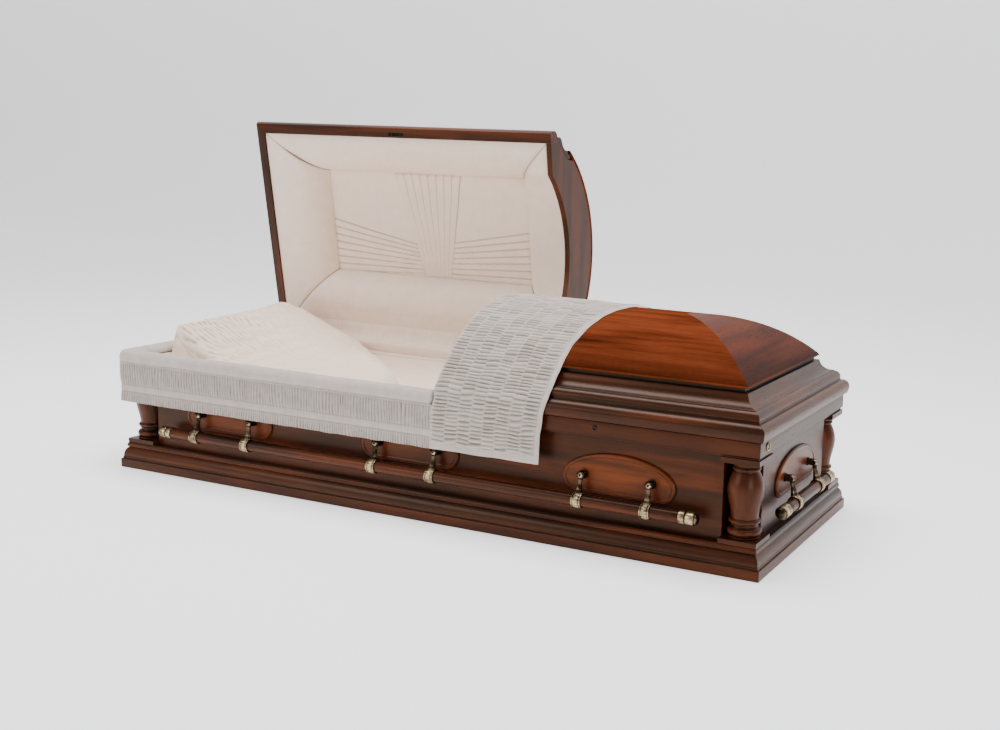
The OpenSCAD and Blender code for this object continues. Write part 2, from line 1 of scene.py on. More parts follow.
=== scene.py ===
# %% [markdown]
# # A hardwood casket with one lid open
#
# The construction is already fixed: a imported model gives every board, moulding, lid and handle its
# place. This lesson puts the finish on it: turned and moulded cherry-coloured hardwood, antique
# brass, and a cloth interior. All lengths below are in millimetres and are scaled once, when a
# mesh is made.

# %% Load the construction
import math

import bmesh
import bpy
import numpy as np
from mathutils import Matrix, Vector


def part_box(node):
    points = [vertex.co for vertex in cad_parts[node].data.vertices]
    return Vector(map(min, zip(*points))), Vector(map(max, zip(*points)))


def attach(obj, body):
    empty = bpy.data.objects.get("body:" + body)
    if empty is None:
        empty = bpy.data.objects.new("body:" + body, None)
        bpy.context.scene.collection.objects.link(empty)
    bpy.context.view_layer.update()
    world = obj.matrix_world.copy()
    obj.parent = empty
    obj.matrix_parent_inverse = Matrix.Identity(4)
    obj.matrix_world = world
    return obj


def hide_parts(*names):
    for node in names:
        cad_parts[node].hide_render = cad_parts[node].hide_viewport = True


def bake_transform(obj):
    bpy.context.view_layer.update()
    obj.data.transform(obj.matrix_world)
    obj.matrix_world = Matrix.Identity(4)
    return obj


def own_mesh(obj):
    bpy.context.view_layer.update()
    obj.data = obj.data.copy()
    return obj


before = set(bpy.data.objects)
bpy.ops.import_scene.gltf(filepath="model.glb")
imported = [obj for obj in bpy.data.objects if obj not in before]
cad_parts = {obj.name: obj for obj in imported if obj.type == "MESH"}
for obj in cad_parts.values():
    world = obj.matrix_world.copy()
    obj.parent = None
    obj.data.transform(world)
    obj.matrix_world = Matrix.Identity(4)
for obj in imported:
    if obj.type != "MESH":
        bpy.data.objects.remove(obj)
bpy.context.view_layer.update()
MM = 0.001

# %% [markdown]
# ## Key heights and widths
#
# The mouldings and cloths follow the construction, so their lines are read from the boxes of its
# parts and kept under a maker's names. An "inset" is a distance in from the edge of the base.

# %% Read the main sizes
def low(part):
    return np.array(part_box(part)[0]) / MM


def high(part):
    return np.array(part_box(part)[1]) / MM


half_l = high("base_moulding_foot")[0]
half_w = high("base_moulding_back")[1]
base_h = high("base_moulding_front")[2]
ledge_z = low("ledge_front")[2]
box_z = high("ledge_front")[2]
rim_z = low("foot_lid_rails")[2]
crown_z = high("foot_lid_rails")[2]
ridge_z = high("foot_lid_crown")[2]
head_cut = high("head_lid_rails")[0]
foot_cut = low("foot_lid_rails")[0]
bed_z = high("bed")[2]
crown_set, ledge_set, panel_set = 79, 17, 42
print("half length %.0f, half width %.0f, rim %.1f, crown %.1f, ridge %.1f"
      % (half_l, half_w, rim_z, crown_z, ridge_z))

# %% [markdown]
# ## The open lid
#
# The head lid is easiest to shape closed, lying on the box. Its pieces keep that shape in their
# meshes, and their objects are turned about the hinge line to where the construction has them.

# %% The turn that opens the head lid
hinge_y, hinge_z = 366.0, 350.2
opening = math.radians(81.5)
hinge_line = Matrix.Translation(Vector((0, hinge_y, hinge_z)) * MM)
OPEN = hinge_line @ Matrix.Rotation(-opening, 4, "X") @ hinge_line.inverted()
top_of_lid = OPEN @ (Vector((0, -half_w, rim_z)) * MM)
print("the open lid's front edge stands %.3f m up" % top_of_lid.z)

# %% [markdown]
# ## Writing shaders as sums
#
# A node tree is hard to read as a list of nodes. A small class wraps a socket, so that ordinary
# Python arithmetic adds the Math nodes, and one method adds any other node.

# %% The socket class
class Wire:
    """a socket of a shader tree, or just the tree where the socket is None"""

    def __init__(self, tree, socket):
        self.tree, self.socket = tree, socket

    def node(self, kind, settings=None, **sockets):
        """adds a node; sockets are named, with _ for a space, or numbered as i0, i1 ..."""
        made = self.tree.nodes.new("ShaderNode" + kind)
        for key, value in (settings or {}).items():
            if key == "stops":
                ramp = made.color_ramp
                while len(ramp.elements) < len(value):
                    ramp.elements.new(0.5)
                for element, (at, colour) in zip(ramp.elements, value):
                    element.position, element.color = at, (*colour, 1)
            else:
                setattr(made, key, value)
        for key, value in sockets.items():
            into = made.inputs[int(key[1:])] if key[0] == "i" and key[1:].isdigit() \
                else made.inputs[key.replace("_", " ")]
            if isinstance(value, Wire):
                self.tree.links.new(value.socket, into)
            else:
                into.default_value = value
        return [Wire(self.tree, out) for out in made.outputs]

    def maths(self, operation, a, b=0.0, clamp=False):
        return self.node("Math", {"operation": operation, "use_clamp": clamp}, i0=a, i1=b)[0]

    def __add__(self, other): return self.maths("ADD", self, other)
    def __radd__(self, other): return self.maths("ADD", other, self)
    def __sub__(self, other): return self.maths("SUBTRACT", self, other)
    def __rsub__(self, other): return self.maths("SUBTRACT", other, self)
    def __mul__(self, other): return self.maths("MULTIPLY", self, other)
    def __rmul__(self, other): return self.maths("MULTIPLY", other, self)

    def between(self, start, end):
        return self.node("MapRange", {"interpolation_type": "SMOOTHSTEP"}, Value=self,
                         From_Min=start, From_Max=end)[0]

    def blend(self, a, b):
        return self.node("Mix", {"data_type": "RGBA"}, i0=self, i6=a, i7=b)[2]

    def stretched(self, scale):
        return self.node("VectorMath", {"operation": "MULTIPLY"}, i0=self, i1=scale)[0]

    def clouds(self, scale, detail=2.0, rough=0.5):
        return self.node("TexNoise", {}, Vector=self, Scale=scale, Detail=detail,
                         Roughness=rough)[0]


def rgb(r, g, b):
    """a screen colour, 0 to 255, as the linear colour a shader takes"""
    return tuple(((c / 255 + 0.055) / 1.055) ** 2.4 if c > 10 else c / 255 / 12.92
                 for c in (r, g, b)) + (1.0,)


print("shader sums are ready")

# %% [markdown]
# ## A finish
#
# Every finish starts the same way: a material, its shader, and the place on the piece. The place
# is the piece's own coordinates, so that grain stays still when a lid or a handle moves.

# %% Start a finish
def finish(name, **fixed):
    """a new material, its shader, an empty wire to start sums from, and the piece's own place"""
    material = bpy.data.materials.new(name)
    material.use_nodes = True
    tree = material.node_tree
    shader = tree.nodes["Principled BSDF"]
    for key, value in fixed.items():
        shader.inputs[key.replace("_", " ")].default_value = value
    start = Wire(tree, None)
    place = start.node("TexCoord")[3]
    return material, shader, start, place


def feed(shader, **wires):
    for key, wire in wires.items():
        wire.tree.links.new(wire.socket, shader.inputs[key.replace("_", " ")])


def bumpy(start, shader, height, strength, distance):
    normal = start.node("Bump", {}, Height=height, Strength=strength, Distance=distance)[0]
    feed(shader, Normal=normal)


def attribute(start, name):
    return start.node("Attribute", {"attribute_name": name})[2]


print("finishes are ready")

# %% [markdown]
# ## Hardwood
#
# The wood is a close-grained red-brown hardwood under a satin lacquer. Its colour comes in three
# layers: broad bands of lighter and darker wood, long fine figure, and short dark pores, all
# drawn out along the grain. Shade is painted into the hollows of the mouldings and under their
# overhangs; meshes carry it as a value called "glaze".

# %% Hardwood in three grain directions
def hardwood(name, along, dark, mid, light, coat=0.05, shine=0.24):
    """lacquered wood with its grain along axis 0, 1 or 2"""
    material, shader, start, place = finish(name, Coat_Weight=coat, Coat_Roughness=0.22,
                                            Specular_IOR_Level=shine,
                                            Specular_Tint=(1.0, 0.62, 0.40, 1.0))
    # the texture is squeezed along the grain, which draws its clouds out into streaks
    squeeze, pore_scale = [1.0] * 3, [520.0] * 3
    squeeze[along], pore_scale[along] = 0.07, 22.0
    drawn = place.stretched(tuple(squeeze))
    sway = place.clouds(2.2, 2.0)
    figure = drawn.clouds(34.0, 5.0, 0.62)
    broad = drawn.clouds(7.0, 3.0, 0.55)
    line = broad * 9.0 + sway * 3.0 + figure * 1.6
    rings = start.node("Math", {"operation": "SINE"}, i0=line * 2.2)[0] * 0.5 + 0.5
    tone = figure * 0.75 + rings * 0.22 + broad * 0.25 - 0.12
    colour = start.node("ValToRGB", {"stops": [(0.28, dark[:3]), (0.5, mid[:3]),
                                               (0.76, light[:3])]}, Fac=tone)[0]
    pores = place.stretched(tuple(pore_scale)).clouds(1.0, 1.0).between(0.60, 0.72)
    colour = (pores * 0.35).blend(colour, (dark[0] * 0.45, dark[1] * 0.4, dark[2] * 0.4, 1))
    # painted shade: darker where a mesh marks hollows and overhangs, a little uneven
    painted_hollow_shade = attribute(start, "glaze") * (0.75 + place.clouds(60.0, 3.0) * 0.5)
    colour = painted_hollow_shade.blend(colour, (dark[0] * 0.22, dark[1] * 0.2, dark[2] * 0.22, 1))
    feed(shader, Base_Color=colour, Roughness=0.28 + figure * 0.14 + pores * 0.1)
    bumpy(start, shader, figure * 0.3 - pores * 0.5, 0.12, 0.0006)
    return material


cherry_tones = rgb(20, 7, 4), rgb(53, 21, 9), rgb(86, 38, 15)
wood_x = hardwood("cherry grain lengthwise", 0, *cherry_tones)
wood_y = hardwood("cherry grain crosswise", 1, *cherry_tones)
wood_z = hardwood("cherry grain upright", 2, *cherry_tones)
# the crown gets lighter tones than the rest of the wood, painted light in place of the sheen it is
# not given; its end panels get darker tones than its long panels, as painted shade
lit_crown_x = hardwood("lit crown grain lengthwise", 0, rgb(54, 22, 12), rgb(91, 41, 22),
                   rgb(119, 58, 33), 0.0, 0.0)
lit_shaded_crown_y = hardwood("lit and shaded crown grain crosswise", 1, rgb(44, 16, 7), rgb(76, 31, 13),
                   rgb(100, 44, 20), 0.0, 0.02)
plaque_tones = rgb(48, 18, 7), rgb(84, 36, 13), rgb(108, 50, 20)
plaque_x = hardwood("plaque grain lengthwise", 0, *plaque_tones)
plaque_y = hardwood("plaque grain crosswise", 1, *plaque_tones)
plain_wood = hardwood("plain board", 0, rgb(120, 88, 58), rgb(160, 122, 84), rgb(184, 148, 106),
                      0.0)
print("eight hardwood finishes")

# %% [markdown]
# ## Antique brass and bronze
#
# The hardware is cast brass with a dark patina that has been rubbed off the high places. Patina
# is a broad cloud plus what lies in the hollows ("glaze" again, which on
# metal marks patina), and it is both darker and rougher than the rubbed metal.

# %% Metal finishes
def old_metal(name, bright, dull, cover):
    """cast metal, with patina over a share of it that grows with cover"""
    material, shader, start, place = finish(name, Metallic=1.0)
    clouds = place.clouds(55.0, 4.0, 0.6)
    fine = place.clouds(420.0, 3.0)
    patina = attribute(start, "glaze") * 0.9 + clouds.between(0.42, 0.75) * cover
    patina = start.maths("ADD", patina, 0.0, clamp=True)
    feed(shader, Base_Color=patina.blend(bright, dull),
         Roughness=0.24 + patina * 0.22 + fine * 0.10)
    bumpy(start, shader, fine, 0.10, 0.0004)
    return material


brass = old_metal("antique brass", rgb(178, 156, 122), rgb(42, 34, 25), 0.85)
bronze = old_metal("dark bronze", rgb(58, 48, 40), rgb(20, 17, 15), 0.6)
print("two metal finishes")

# %% [markdown]
# ## Cloth
#
# The interior is a soft brushed crepe. Close to, it has a fine weave; further off, only its
# folds and a slight change of tone show. A "seam" value on a mesh darkens the cloth along its seams,
# and paints shade into the valleys of its pleats, folds and gathers.

# %% Cloth finishes
thread_scale = 250.0


def crepe(name, light, shade, seam):
    """brushed cloth that mottles from light to shade, and darkens towards seam along seams and, as
    painted shade, in its folds
    """
    material, shader, start, place = finish(name, Sheen_Weight=0.25, Sheen_Roughness=0.4,
                                            Specular_IOR_Level=0.2)
    across, along = (place.node("TexWave", {"bands_direction": way}, Vector=place,
                                Scale=thread_scale)[1] for way in "XZ")
    mottle = place.clouds(26.0, 4.0, 0.6)
    slub = place.stretched((1, 1, 3)).clouds(240.0, 2.0)
    colour = (mottle.between(0.3, 0.7) * 0.5 + slub * 0.2).blend(light, shade)
    # darker towards the seam colour along seams, and as painted shade in the valleys of pleats,
    # folds and gathers
    colour = (attribute(start, "seam") * 0.8).blend(colour, seam)
    feed(shader, Base_Color=colour, Roughness=0.9 - mottle * 0.08)
    bumpy(start, shader, across * 0.25 + along * 0.25 + slub * 0.8, 0.25, 0.0006)
    return material


ivory = crepe("ivory crepe", rgb(240, 220, 204), rgb(230, 206, 187), rgb(150, 116, 94))
pearl = crepe("pearl crepe", rgb(190, 179, 171), rgb(168, 156, 147), rgb(46, 38, 33))
print("two cloth finishes")

# %% [markdown]
# ## From points to pieces
#
# One helper turns points and faces into a piece: it scales them, smooths what is round, keeps
# what is sharp, gives the finish, and lets the piece ride on its body. A second helper joins
# rings of points into a skin, which makes every moulding, turning and roll that follows.

# %% Make a piece
def carry(mesh, key, numbers):
    """gives each point of a mesh a number under a name"""
    mesh.attributes.new(key, "FLOAT", "POINT").data.foreach_set(
        "value", np.asarray(numbers, np.float32).ravel())


def make(name, points, faces, look, body="box", of=(), slot=None, sharp=32, opened=False,
         values=None):
    """a piece from points and faces; of names the parts it replaces, values what it carries"""
    mesh = bpy.data.meshes.new(name)
    mesh.from_pydata((np.asarray(points, float) * MM).tolist(), [], faces)
    mesh.validate()
    for key, numbers in (values or {}).items():
        carry(mesh, key, numbers)
    obj = bpy.data.objects.new(name, mesh)
    bpy.context.scene.collection.objects.link(obj)
    mesh.materials.append(look)
    bm = bmesh.new()
    bm.from_mesh(mesh)
    if all(len(e.link_faces) == 2 for e in bm.edges):
        bmesh.ops.recalc_face_normals(bm, faces=bm.faces)
    bm.to_mesh(mesh)
    bm.free()
    mesh.shade_smooth()
    mesh.set_sharp_from_angle(angle=math.radians(sharp))
    if opened:
        obj.matrix_world = OPEN
    if body:
        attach(obj, body)
    if of:
        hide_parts(*([of] if isinstance(of, str) else of))
    return obj


print("pieces can be made")


# %% A skin over rings
def skin(rows, cols, around=True, loop=False, start=0):
    """faces between rows of cols points; around joins each row into a ring, and its first and
    last ring get an end face, or loop joins those two"""
    faces = []
    last = cols if around else cols - 1
    for r in range(rows if loop else rows - 1):
        this, after = start + r * cols, start + (r + 1) % rows * cols
        for c in range(last):
            d = (c + 1) % cols
            faces.append((this + c, this + d, after + d, after + c))
    if around and not loop:
        faces.append(tuple(start + c for c in range(cols))[::-1])
        faces.append(tuple(start + (rows - 1) * cols + c for c in range(cols)))
    return faces


print("a skin of three rings of four points has", len(skin(3, 4)), "faces")

# %% [markdown]
# ## Outlines for mouldings
#
# A moulding's outline is a chain of short curves: an ovolo bulges, a cove hollows. A curve is
# given by its ends and how far it bows, and it carries how much shade is painted on it.

# %% Curves of an outline
def bow(a, b, rise, n=10, glaze=0.0, hollow=None):
    """n points from a to b on an arc that bows by rise; painted shade deepens towards the middle if
    hollow
    """
    a, b = np.array(a, float), np.array(b, float)
    chord = np.linalg.norm(b - a)
    along = (b - a) / chord
    side = np.array([-along[1], along[0]]) * (1 if rise >= 0 else -1)
    s = max(abs(rise), 1e-6)
    r = (chord * chord / 4 + s * s) / (2 * s)
    out = []
    for i in range(n):
        t = i / (n - 1)
        x = (t - 0.5) * chord
        p = a + along * (t * chord) + side * (math.sqrt(max(r * r - x * x, 0)) - (r - s))
        g = glaze if hollow is None else glaze + hollow * (1 - abs(2 * t - 1))
        out.append((p[0], p[1], g))
    return out


def circle_part(c, r, start, end, n, glaze=0.0):
    """n points on a circle about c, from one angle to another"""
    turn = np.radians(np.linspace(start, end, n))
    return [(c[0] + r * math.cos(t), c[1] + r * math.sin(t), glaze) for t in turn]


print("a cove of", len(bow((0, 0), (10, 10), -3)), "points")


# %% A run of moulding
def at_side(side, s, u, z):
    """the point a distance s along a side, u in from the base's edge and z up"""
    s, u, z = (np.asarray(v, float) for v in (s, u, z))
    s, u, z = np.broadcast_arrays(s, u, z)
    spots = {"front": (s, u - half_w), "back": (-s, half_w - u),
             "foot": (half_l - u, s), "head": (u - half_l, -s)}
    x, y = spots[side]
    return np.stack([x, y, z], -1)


def reach(side, u):
    """half the length of a side at inset u, which makes the mitres"""
    return (half_l if side in ("front", "back") else half_w) - np.asarray(u, float)


def moulding(name, outline, side, look, start=None, end=None, **how):
    """a run of moulding on one side of the casket, mitred where no start or end is given"""
    u, z, glaze = np.array(outline, float).T
    first = -reach(side, u) if start is None else np.full_like(u, start)
    final = reach(side, u) if end is None else np.full_like(u, end)
    rows = [at_side(side, first + (final - first) * t, u, z) for t in (0, 0.25, 0.5, 0.75, 1)]
    return make(name, np.concatenate(rows), skin(5, len(u)), look,
                values={"glaze": np.tile(glaze, 5)}, slot="red_brown_hardwood", **how)


grain = {"front": wood_x, "back": wood_x, "head": wood_y, "foot": wood_y}
SIDES = ("front", "back", "head", "foot")
print("outlines are ready")

# %% [markdown]
# ## The base moulding
#
# The casket stands on a heavy moulding: a plain band, a small step, and a long cove that sweeps
# up to the box. It is one outline run round four sides with mitred corners.

# %% Base moulding
# painted shade: darkest in the step under the cove and on the top under the panel, deepening into
# the middle of the cove
base_outline = (
    [(66, 0, 0), (1.2, 0, 0.5)] + bow((1.0, 0.2), (0, 2), 0.4, 3, 0.3)
    + bow((0, 25.5), (2.5, 28), 0.8, 5) + [(4.6, 28.2, 0.9), (4.8, 31, 0.9)]
    + bow((4.9, 31.2), (6, 35), 0.7, 4, 0.2)
    + bow((6.2, 35.5), (base_h - 62.2, 64), 3.6, 10, 0.0, 0.25)
    + bow((17.2, 64.4), (14.6, 71), 2.0, 6)
    + bow((14.6, 71.5), (17, 77.5), 0.8, 4) + [(19, 80, 0.2), (42, 80, 0.8), (66, 80, 0.8)])
for side in SIDES:
    moulding("base_" + side, base_outline, side, grain[side], of="base_moulding_" + side)
print("base moulding with", len(base_outline), "points in its outline")

# %% [markdown]
# ## The ledge
#
# Round the top of the box runs a plain fascia with a rounded lower lip. The lids close on it.

# %% Ledge
# painted shade: dark on the underside, and a light painted shadow over the lip and up the fascia,
# under the lid's torus
ledge_outline = (
    [(59.7, ledge_z, 0.6), (24, ledge_z, 0.9)]
    + bow((22, ledge_z + 0.4), (17, ledge_z + 7.5), -2.4, 7, 0.25)
    + bow((17, ledge_z + 8.2), (17, box_z - 3), 0.3, 4, 0.22)
    + bow((17.2, box_z - 2), (19, box_z), 0.6, 4) + [(59.7, box_z, 0.0)])
for side in SIDES:
    moulding("ledge_" + side, ledge_outline, side, grain[side], of="ledge_" + side)
print("ledge at %.0f to %.0f mm" % (ledge_z, box_z))

# %% [markdown]
# ## The lid moulding
#
# Each lid starts with a fat torus on the ledge, then an ovolo and a deep cove that climbs to the
# crown. Under the crown a dark groove is cut, so that the crown seems to float.

# %% Lid moulding
groove = 91
# painted shade: in the small steps, in the groove under the crown, and deepening into the middle of
# the big cove
lid_outline = (
    [(40, rim_z, 0.1), (11, rim_z, 0.1)]
    + bow((10.6, rim_z + 0.1), (7.6, rim_z + 3.6), 0.9, 5)
    + bow((7.5, rim_z + 4.2), (4.0, rim_z + 20.6), 0.7, 8)
    + circle_part((26, rim_z + 20.6), 22, 176, 90, 14)
    + [(26.4, rim_z + 46, 0.9), (27, rim_z + 48.4, 0.9)]
    + bow((27.2, rim_z + 48.6), (40, rim_z + 69.6), 4.4, 9)
    + [(42.5, rim_z + 70, 0.9), (43, rim_z + 71.4, 0.8)]
    + bow((43.4, rim_z + 71.8), (78, crown_z - 13.6), -8, 12, 0.05, 0.2)
    + bow((78.3, crown_z - 13.2), (81, crown_z - 11), 0.6, 3, 0.3)
    + [(groove, crown_z - 10.6, 1.0), (groove, crown_z, 1.0), (groove + 13.6, crown_z, 1.0),
       (groove + 13.6, crown_z - 11, 0.5), (40, rim_z + 46, 0.2)])


def both_lids(kind, outline, long_look, end_look, part, sharp):
    """one outline round three sides of each lid, cut square where the lids meet"""
    for lid, end, cut in (("head_lid", "head", head_cut), ("foot_lid", "foot", foot_cut)):
        how = {"body": lid, "opened": lid == "head_lid", "sharp": sharp}
        name = lid + "_" + kind + "_"
        front, back = ((None, cut), (-cut, None)) if end == "head" else ((cut, None), (None, -cut))
        moulding(name + "front", outline, "front", long_look, *front, of=lid + part, **how)
        moulding(name + "back", outline, "back", long_look, *back, **how)
        moulding(name + "end", outline, end, end_look, **how)


both_lids("moulding", lid_outline, wood_x, wood_y, "_rails", 38)
print("lid moulding from %.0f to %.0f mm" % (rim_z, crown_z))

# %% [markdown]
# ## The crown
#
# The crown is a vault with hipped ends. Every panel has the same arc, so two panels meet on a
# true mitre. It is the same idea as a moulding, only wide and thin.

# %% Crown
crown_half = half_w - crown_set
crown_rise = ridge_z - crown_z - 4
crown_r = (crown_half ** 2 + crown_rise ** 2) / (2 * crown_rise)


def crown_top(u):
    """height of the crown above its lower edge, at inset u"""
    y = half_w - np.asarray(u, float)
    return np.sqrt(np.maximum(crown_r ** 2 - y * y, 0)) - (crown_r - crown_rise) + 4


up_crown = crown_set + 2.5 + (half_w - crown_set - 2.5) * np.linspace(0, 1, 40)
# painted shade: dark under the crown, and on its top a shade that fades over about five centimetres
# up from its lower edge
crown_outline = (
    [(crown_set + 14, crown_z, 1.0), (crown_set + 1.4, crown_z, 0.8)]
    + bow((crown_set + 0.6, crown_z + 0.4), (crown_set, crown_z + 1.8), 0.3, 3)
    + bow((crown_set, crown_z + 2.6), (crown_set + 1.8, crown_z + 4.6), 0.5, 4)
    + [(u, crown_z + max(crown_top(u), 4.8), 0.66 * math.exp(-(u - crown_set) / 48))
       for u in up_crown]
    + [(u, crown_z + max(0.5, crown_top(u) - 14), 0.0) for u in up_crown[:2:-3]])
both_lids("crown", crown_outline, lit_crown_x, lit_shaded_crown_y, "_crown", 32)
print("crown rises %.0f mm" % crown_rise)

# %% [markdown]
# ## Turnings
#
# A turned piece is its outline spun about a line. The corner columns have a vase with a bead, a
# cove and a torus under it; the same helper later turns bars, tips and knobs.

# %% Spin an outline
def spin(outline, n=64, centre=(0, 0, 0), axis=2, flutes=0, deep=0.0):
    """points and faces of (radius, height) pairs spun about an axis; flutes ripple the radius"""
    outline = np.array(outline, float)
    r, h = outline[:, 0], outline[:, 1]
    turn = np.linspace(0, 2 * math.pi, n, endpoint=False)
    swell = 1 - deep * (0.5 - 0.5 * np.cos(flutes * turn)) if flutes else np.ones(n)
    a = r[:, None] * np.cos(turn) * swell
    b = r[:, None] * np.sin(turn) * swell
    c = np.repeat(h[:, None], n, 1)
    order = {0: (c, a, b), 1: (b, c, a), 2: (a, b, c)}[axis]
    points = np.stack(order, -1).reshape(-1, 3) + np.array(centre, float)
    return points, skin(len(outline), n)


# painted shade: in the fillets and the small cove between the rings, and on the hidden ends
column_outline = (
    [(0.3, 92, 0.8), (42, 92, 0.8), (42.4, 93, 0.6), (42.4, 97, 0.3), (40, 98.5, 0.9)]
    + circle_part((34.5, 108.5), 10, -72, 78, 12)
    + [(35.6, 119.6, 0.9), (34.6, 121.5, 0.9)]
    + bow((34.4, 122), (34.8, 128), -0.8, 5, 0.8)
    + circle_part((34.4, 135), 6.6, -75, 78, 9)
    + [(35.4, 142.4, 0.9)])
vase = [(143.4, 35.2), (152, 35.9), (166, 38.2), (182, 42.0), (198, 45.4), (210, 46.7),
        (219, 47.0), (229, 46.0), (239, 43.6), (248, 40.4), (256, 37.0), (261, 34.6)]
vase_z = np.linspace(143.4, 261, 26)
column_outline += [(float(np.interp(z, *np.array(vase).T)), z, 0.0) for z in vase_z]
column_outline += ([(33.4, 262.4, 0.9), (33.2, 264.4, 0.9)]
                   + circle_part((32.0, 270.4), 4.6, -76, 78, 8)
                   + [(32.6, 275.6, 0.9), (33, 277, 0.6), (36.5, 279, 0.2), (38.5, 284, 0.3),
                      (39.5, 289, 0.6), (0.3, 289, 0.8)])
block = 103
for name, sx, sy in (("front_head", -1, -1), ("front_foot", 1, -1), ("back_head", -1, 1),
                     ("back_foot", 1, 1)):
    centre = (sx * (half_l - ledge_set - block / 2), sy * (half_w - ledge_set - block / 2), 0)
    points, faces = spin([p[:2] for p in column_outline], 72, centre)
    make("turned_column_" + name, points, faces, wood_z, of="column_" + name,
         slot="red_brown_hardwood", sharp=40,
         values={"glaze": np.repeat([p[2] for p in column_outline], 72)})
print("four columns of", len(column_outline), "rings")

# %% [markdown]
# ## Flat boards
#
# Boards, blocks and posts are already right. They get a small rounding on their edges, which
# catches the light as real edges do, and grain that runs the long way of each board.

# %% Finish the boards
def dress(part, look, edge=0.8):
    """gives a part of the construction its finish and eases its edges"""
    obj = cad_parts[part]
    obj.data.materials.clear()
    obj.data.materials.append(look)
    bevel = obj.modifiers.new("eased edges", "BEVEL")
    bevel.width, bevel.segments, bevel.limit_method = edge * MM, 2, "ANGLE"
    bevel.angle_limit = math.radians(50)
    return obj


for part, look in (("side_panel_front", wood_x), ("side_panel_back", wood_x),
                   ("end_panel_head", wood_y), ("end_panel_foot", wood_y),
                   ("corner_posts", wood_z), ("corner_plinths", wood_x),
                   ("corner_caps", wood_x), ("head_lid_header", wood_z),
                   ("foot_lid_header", wood_y), ("bottom_board", plain_wood)):
    dress(part, look)
for part in ("box_hinge_leaves", "head_lid_hinge_leaves", "foot_lid_hinge_leaves"):
    dress(part, brass, 0.2)
print("boards and hinges dressed")

# %% [markdown]
# ## Plaques
#
# A thin wooden plaque stands behind each pair of handle arms. It is flat below and domed above,
# with a rounded raised border. Its rings are the same outline at growing insets, each at its own
# height, which is how a carver would step a border down to its field.

# %% Plaques
def combine(parts):
    """joins several (points, faces) into one mesh's points and faces"""
    points, faces, base = [], [], 0
    for p, f in parts:
        points.append(np.asarray(p, float))
        faces += [tuple(i + base for i in face) for face in f]
        base += len(p)
    return np.concatenate(points), faces


def plaque_ring(inset):
    """the plaque's outline at an inset: a domed top, and a flat foot with round corners"""
    half, corner, dome = 165, 40, 74
    t = np.radians(np.linspace(0, 180, 49))
    top = np.stack([(half - inset) * np.cos(t), corner + (dome - inset) * np.sin(t)], 1)
    left = [(-half + corner + (corner - inset) * math.cos(a),
             corner + (corner - inset) * math.sin(a)) for a in np.radians(range(188, 271, 10))]
    return np.concatenate([top, left, [(-x, z) for x, z in left[::-1]]])


# painted shade at the foot of the border, where it meets the panel and the field
border = [(0, 0.3, 0.9), (0, 1.6, 0.7), (0.5, 3.4, 0.4), (1.5, 5.2, 0.1), (3.2, 6.8, 0),
          (5.4, 7.7, 0), (7.6, 8.0, 0), (9.4, 7.8, 0), (10.8, 7.0, 0.25), (11.8, 6.3, 0.5),
          (13.2, 6.0, 0.3), (16, 6.1, 0), (24, 6.2, 0), (34, 6.2, 0)]
pair_places = {"front": (-656, 0, 656), "back": (-656, 0, 656), "head": (0,), "foot": (0,)}
for side in SIDES:
    parts, glaze = [], []
    for s in pair_places[side]:
        rings = [plaque_ring(d) for d, h, g in border]
        points = [at_side(side, ring[:, 0] + s, panel_set - h, ring[:, 1] + 150)
                  for ring, (d, h, g) in zip(rings, border)]
        parts.append((np.concatenate(points), skin(len(border), len(rings[0]))))
        glaze.append(np.repeat([g for d, h, g in border], len(rings[0])))
    points, faces = combine(parts)
    ends = side in ("head", "foot")
    make("carved_plaques_" + side, points, faces, plaque_y if ends else plaque_x,
         slot="red_brown_hardwood",
         of="plaque_" + side if ends else "plaques_" + side, sharp=50,
         values={"glaze": np.concatenate(glaze)})
print("eight plaques with a border of", len(border), "steps")

# %% [markdown]
# ## Swing bars
#
# Long turned bars hang on cast arms. The arms lean out a little, so a part is drawn hanging
# straight down from its pivot and is then leant. Each arm has a round knob on its pin, a ribbed
# neck that flares, and a fluted clasp round the bar; each bar ends in a banded brass tip.

# %% Outlines of the castings
pivot_z, pivot_set, swing = 200, 17, 66


def hang(side, points):
    """places points drawn about the pivot, with the bar below it, on a side of the box"""
    lean = math.radians(-12)
    x, y, z = np.asarray(points, float).T
    u = pivot_set + y * math.cos(lean) - z * math.sin(lean)
    return at_side(side, x, u, pivot_z + y * math.sin(lean) + z * math.cos(lean))


knob = [(0.3, -9.0), (4.6, -8.2), (7.6, -5.8), (9.2, -2.0), (9.3, 1.2), (8.2, 4.8),
        (6.2, 7.4), (4.4, 8.9), (3.2, 9.3), (2.5, 8.4), (2.2, 4.0), (0.3, 3.6)]
neck = [(12.6, -53), (11.4, -49), (9.6, -43), (8.6, -39.5), (9.0, -37.8), (8.6, -36), (7.6, -32),
        (6.8, -26), (6.3, -20), (6.2, -15), (6.8, -12.6), (6.8, -10.4), (6.0, -6)]
clasp = [(15.6, -14), (19.4, -13.8), (20.6, -12.6), (20.8, -11), (19.4, -9.8), (19.6, -8.6),
         (20.4, -6), (20.7, 0), (20.4, 6), (19.6, 8.6), (19.4, 9.8), (20.8, 11), (20.6, 12.6),
         (19.4, 13.8), (15.6, 14)]
tip = [(0.2, 0), (16.6, 0), (17.8, 1), (17.9, 3), (17.9, 15), (17.2, 16.4), (15.8, 17.2),
       (15.8, 19.4), (17.2, 20.2), (17.9, 21.6), (17.9, 39), (17.2, 41), (15.4, 42.2),
       (15.2, 43.6), (14.4, 46), (11.6, 49.2), (7.0, 51.3), (0.2, 51.9)]


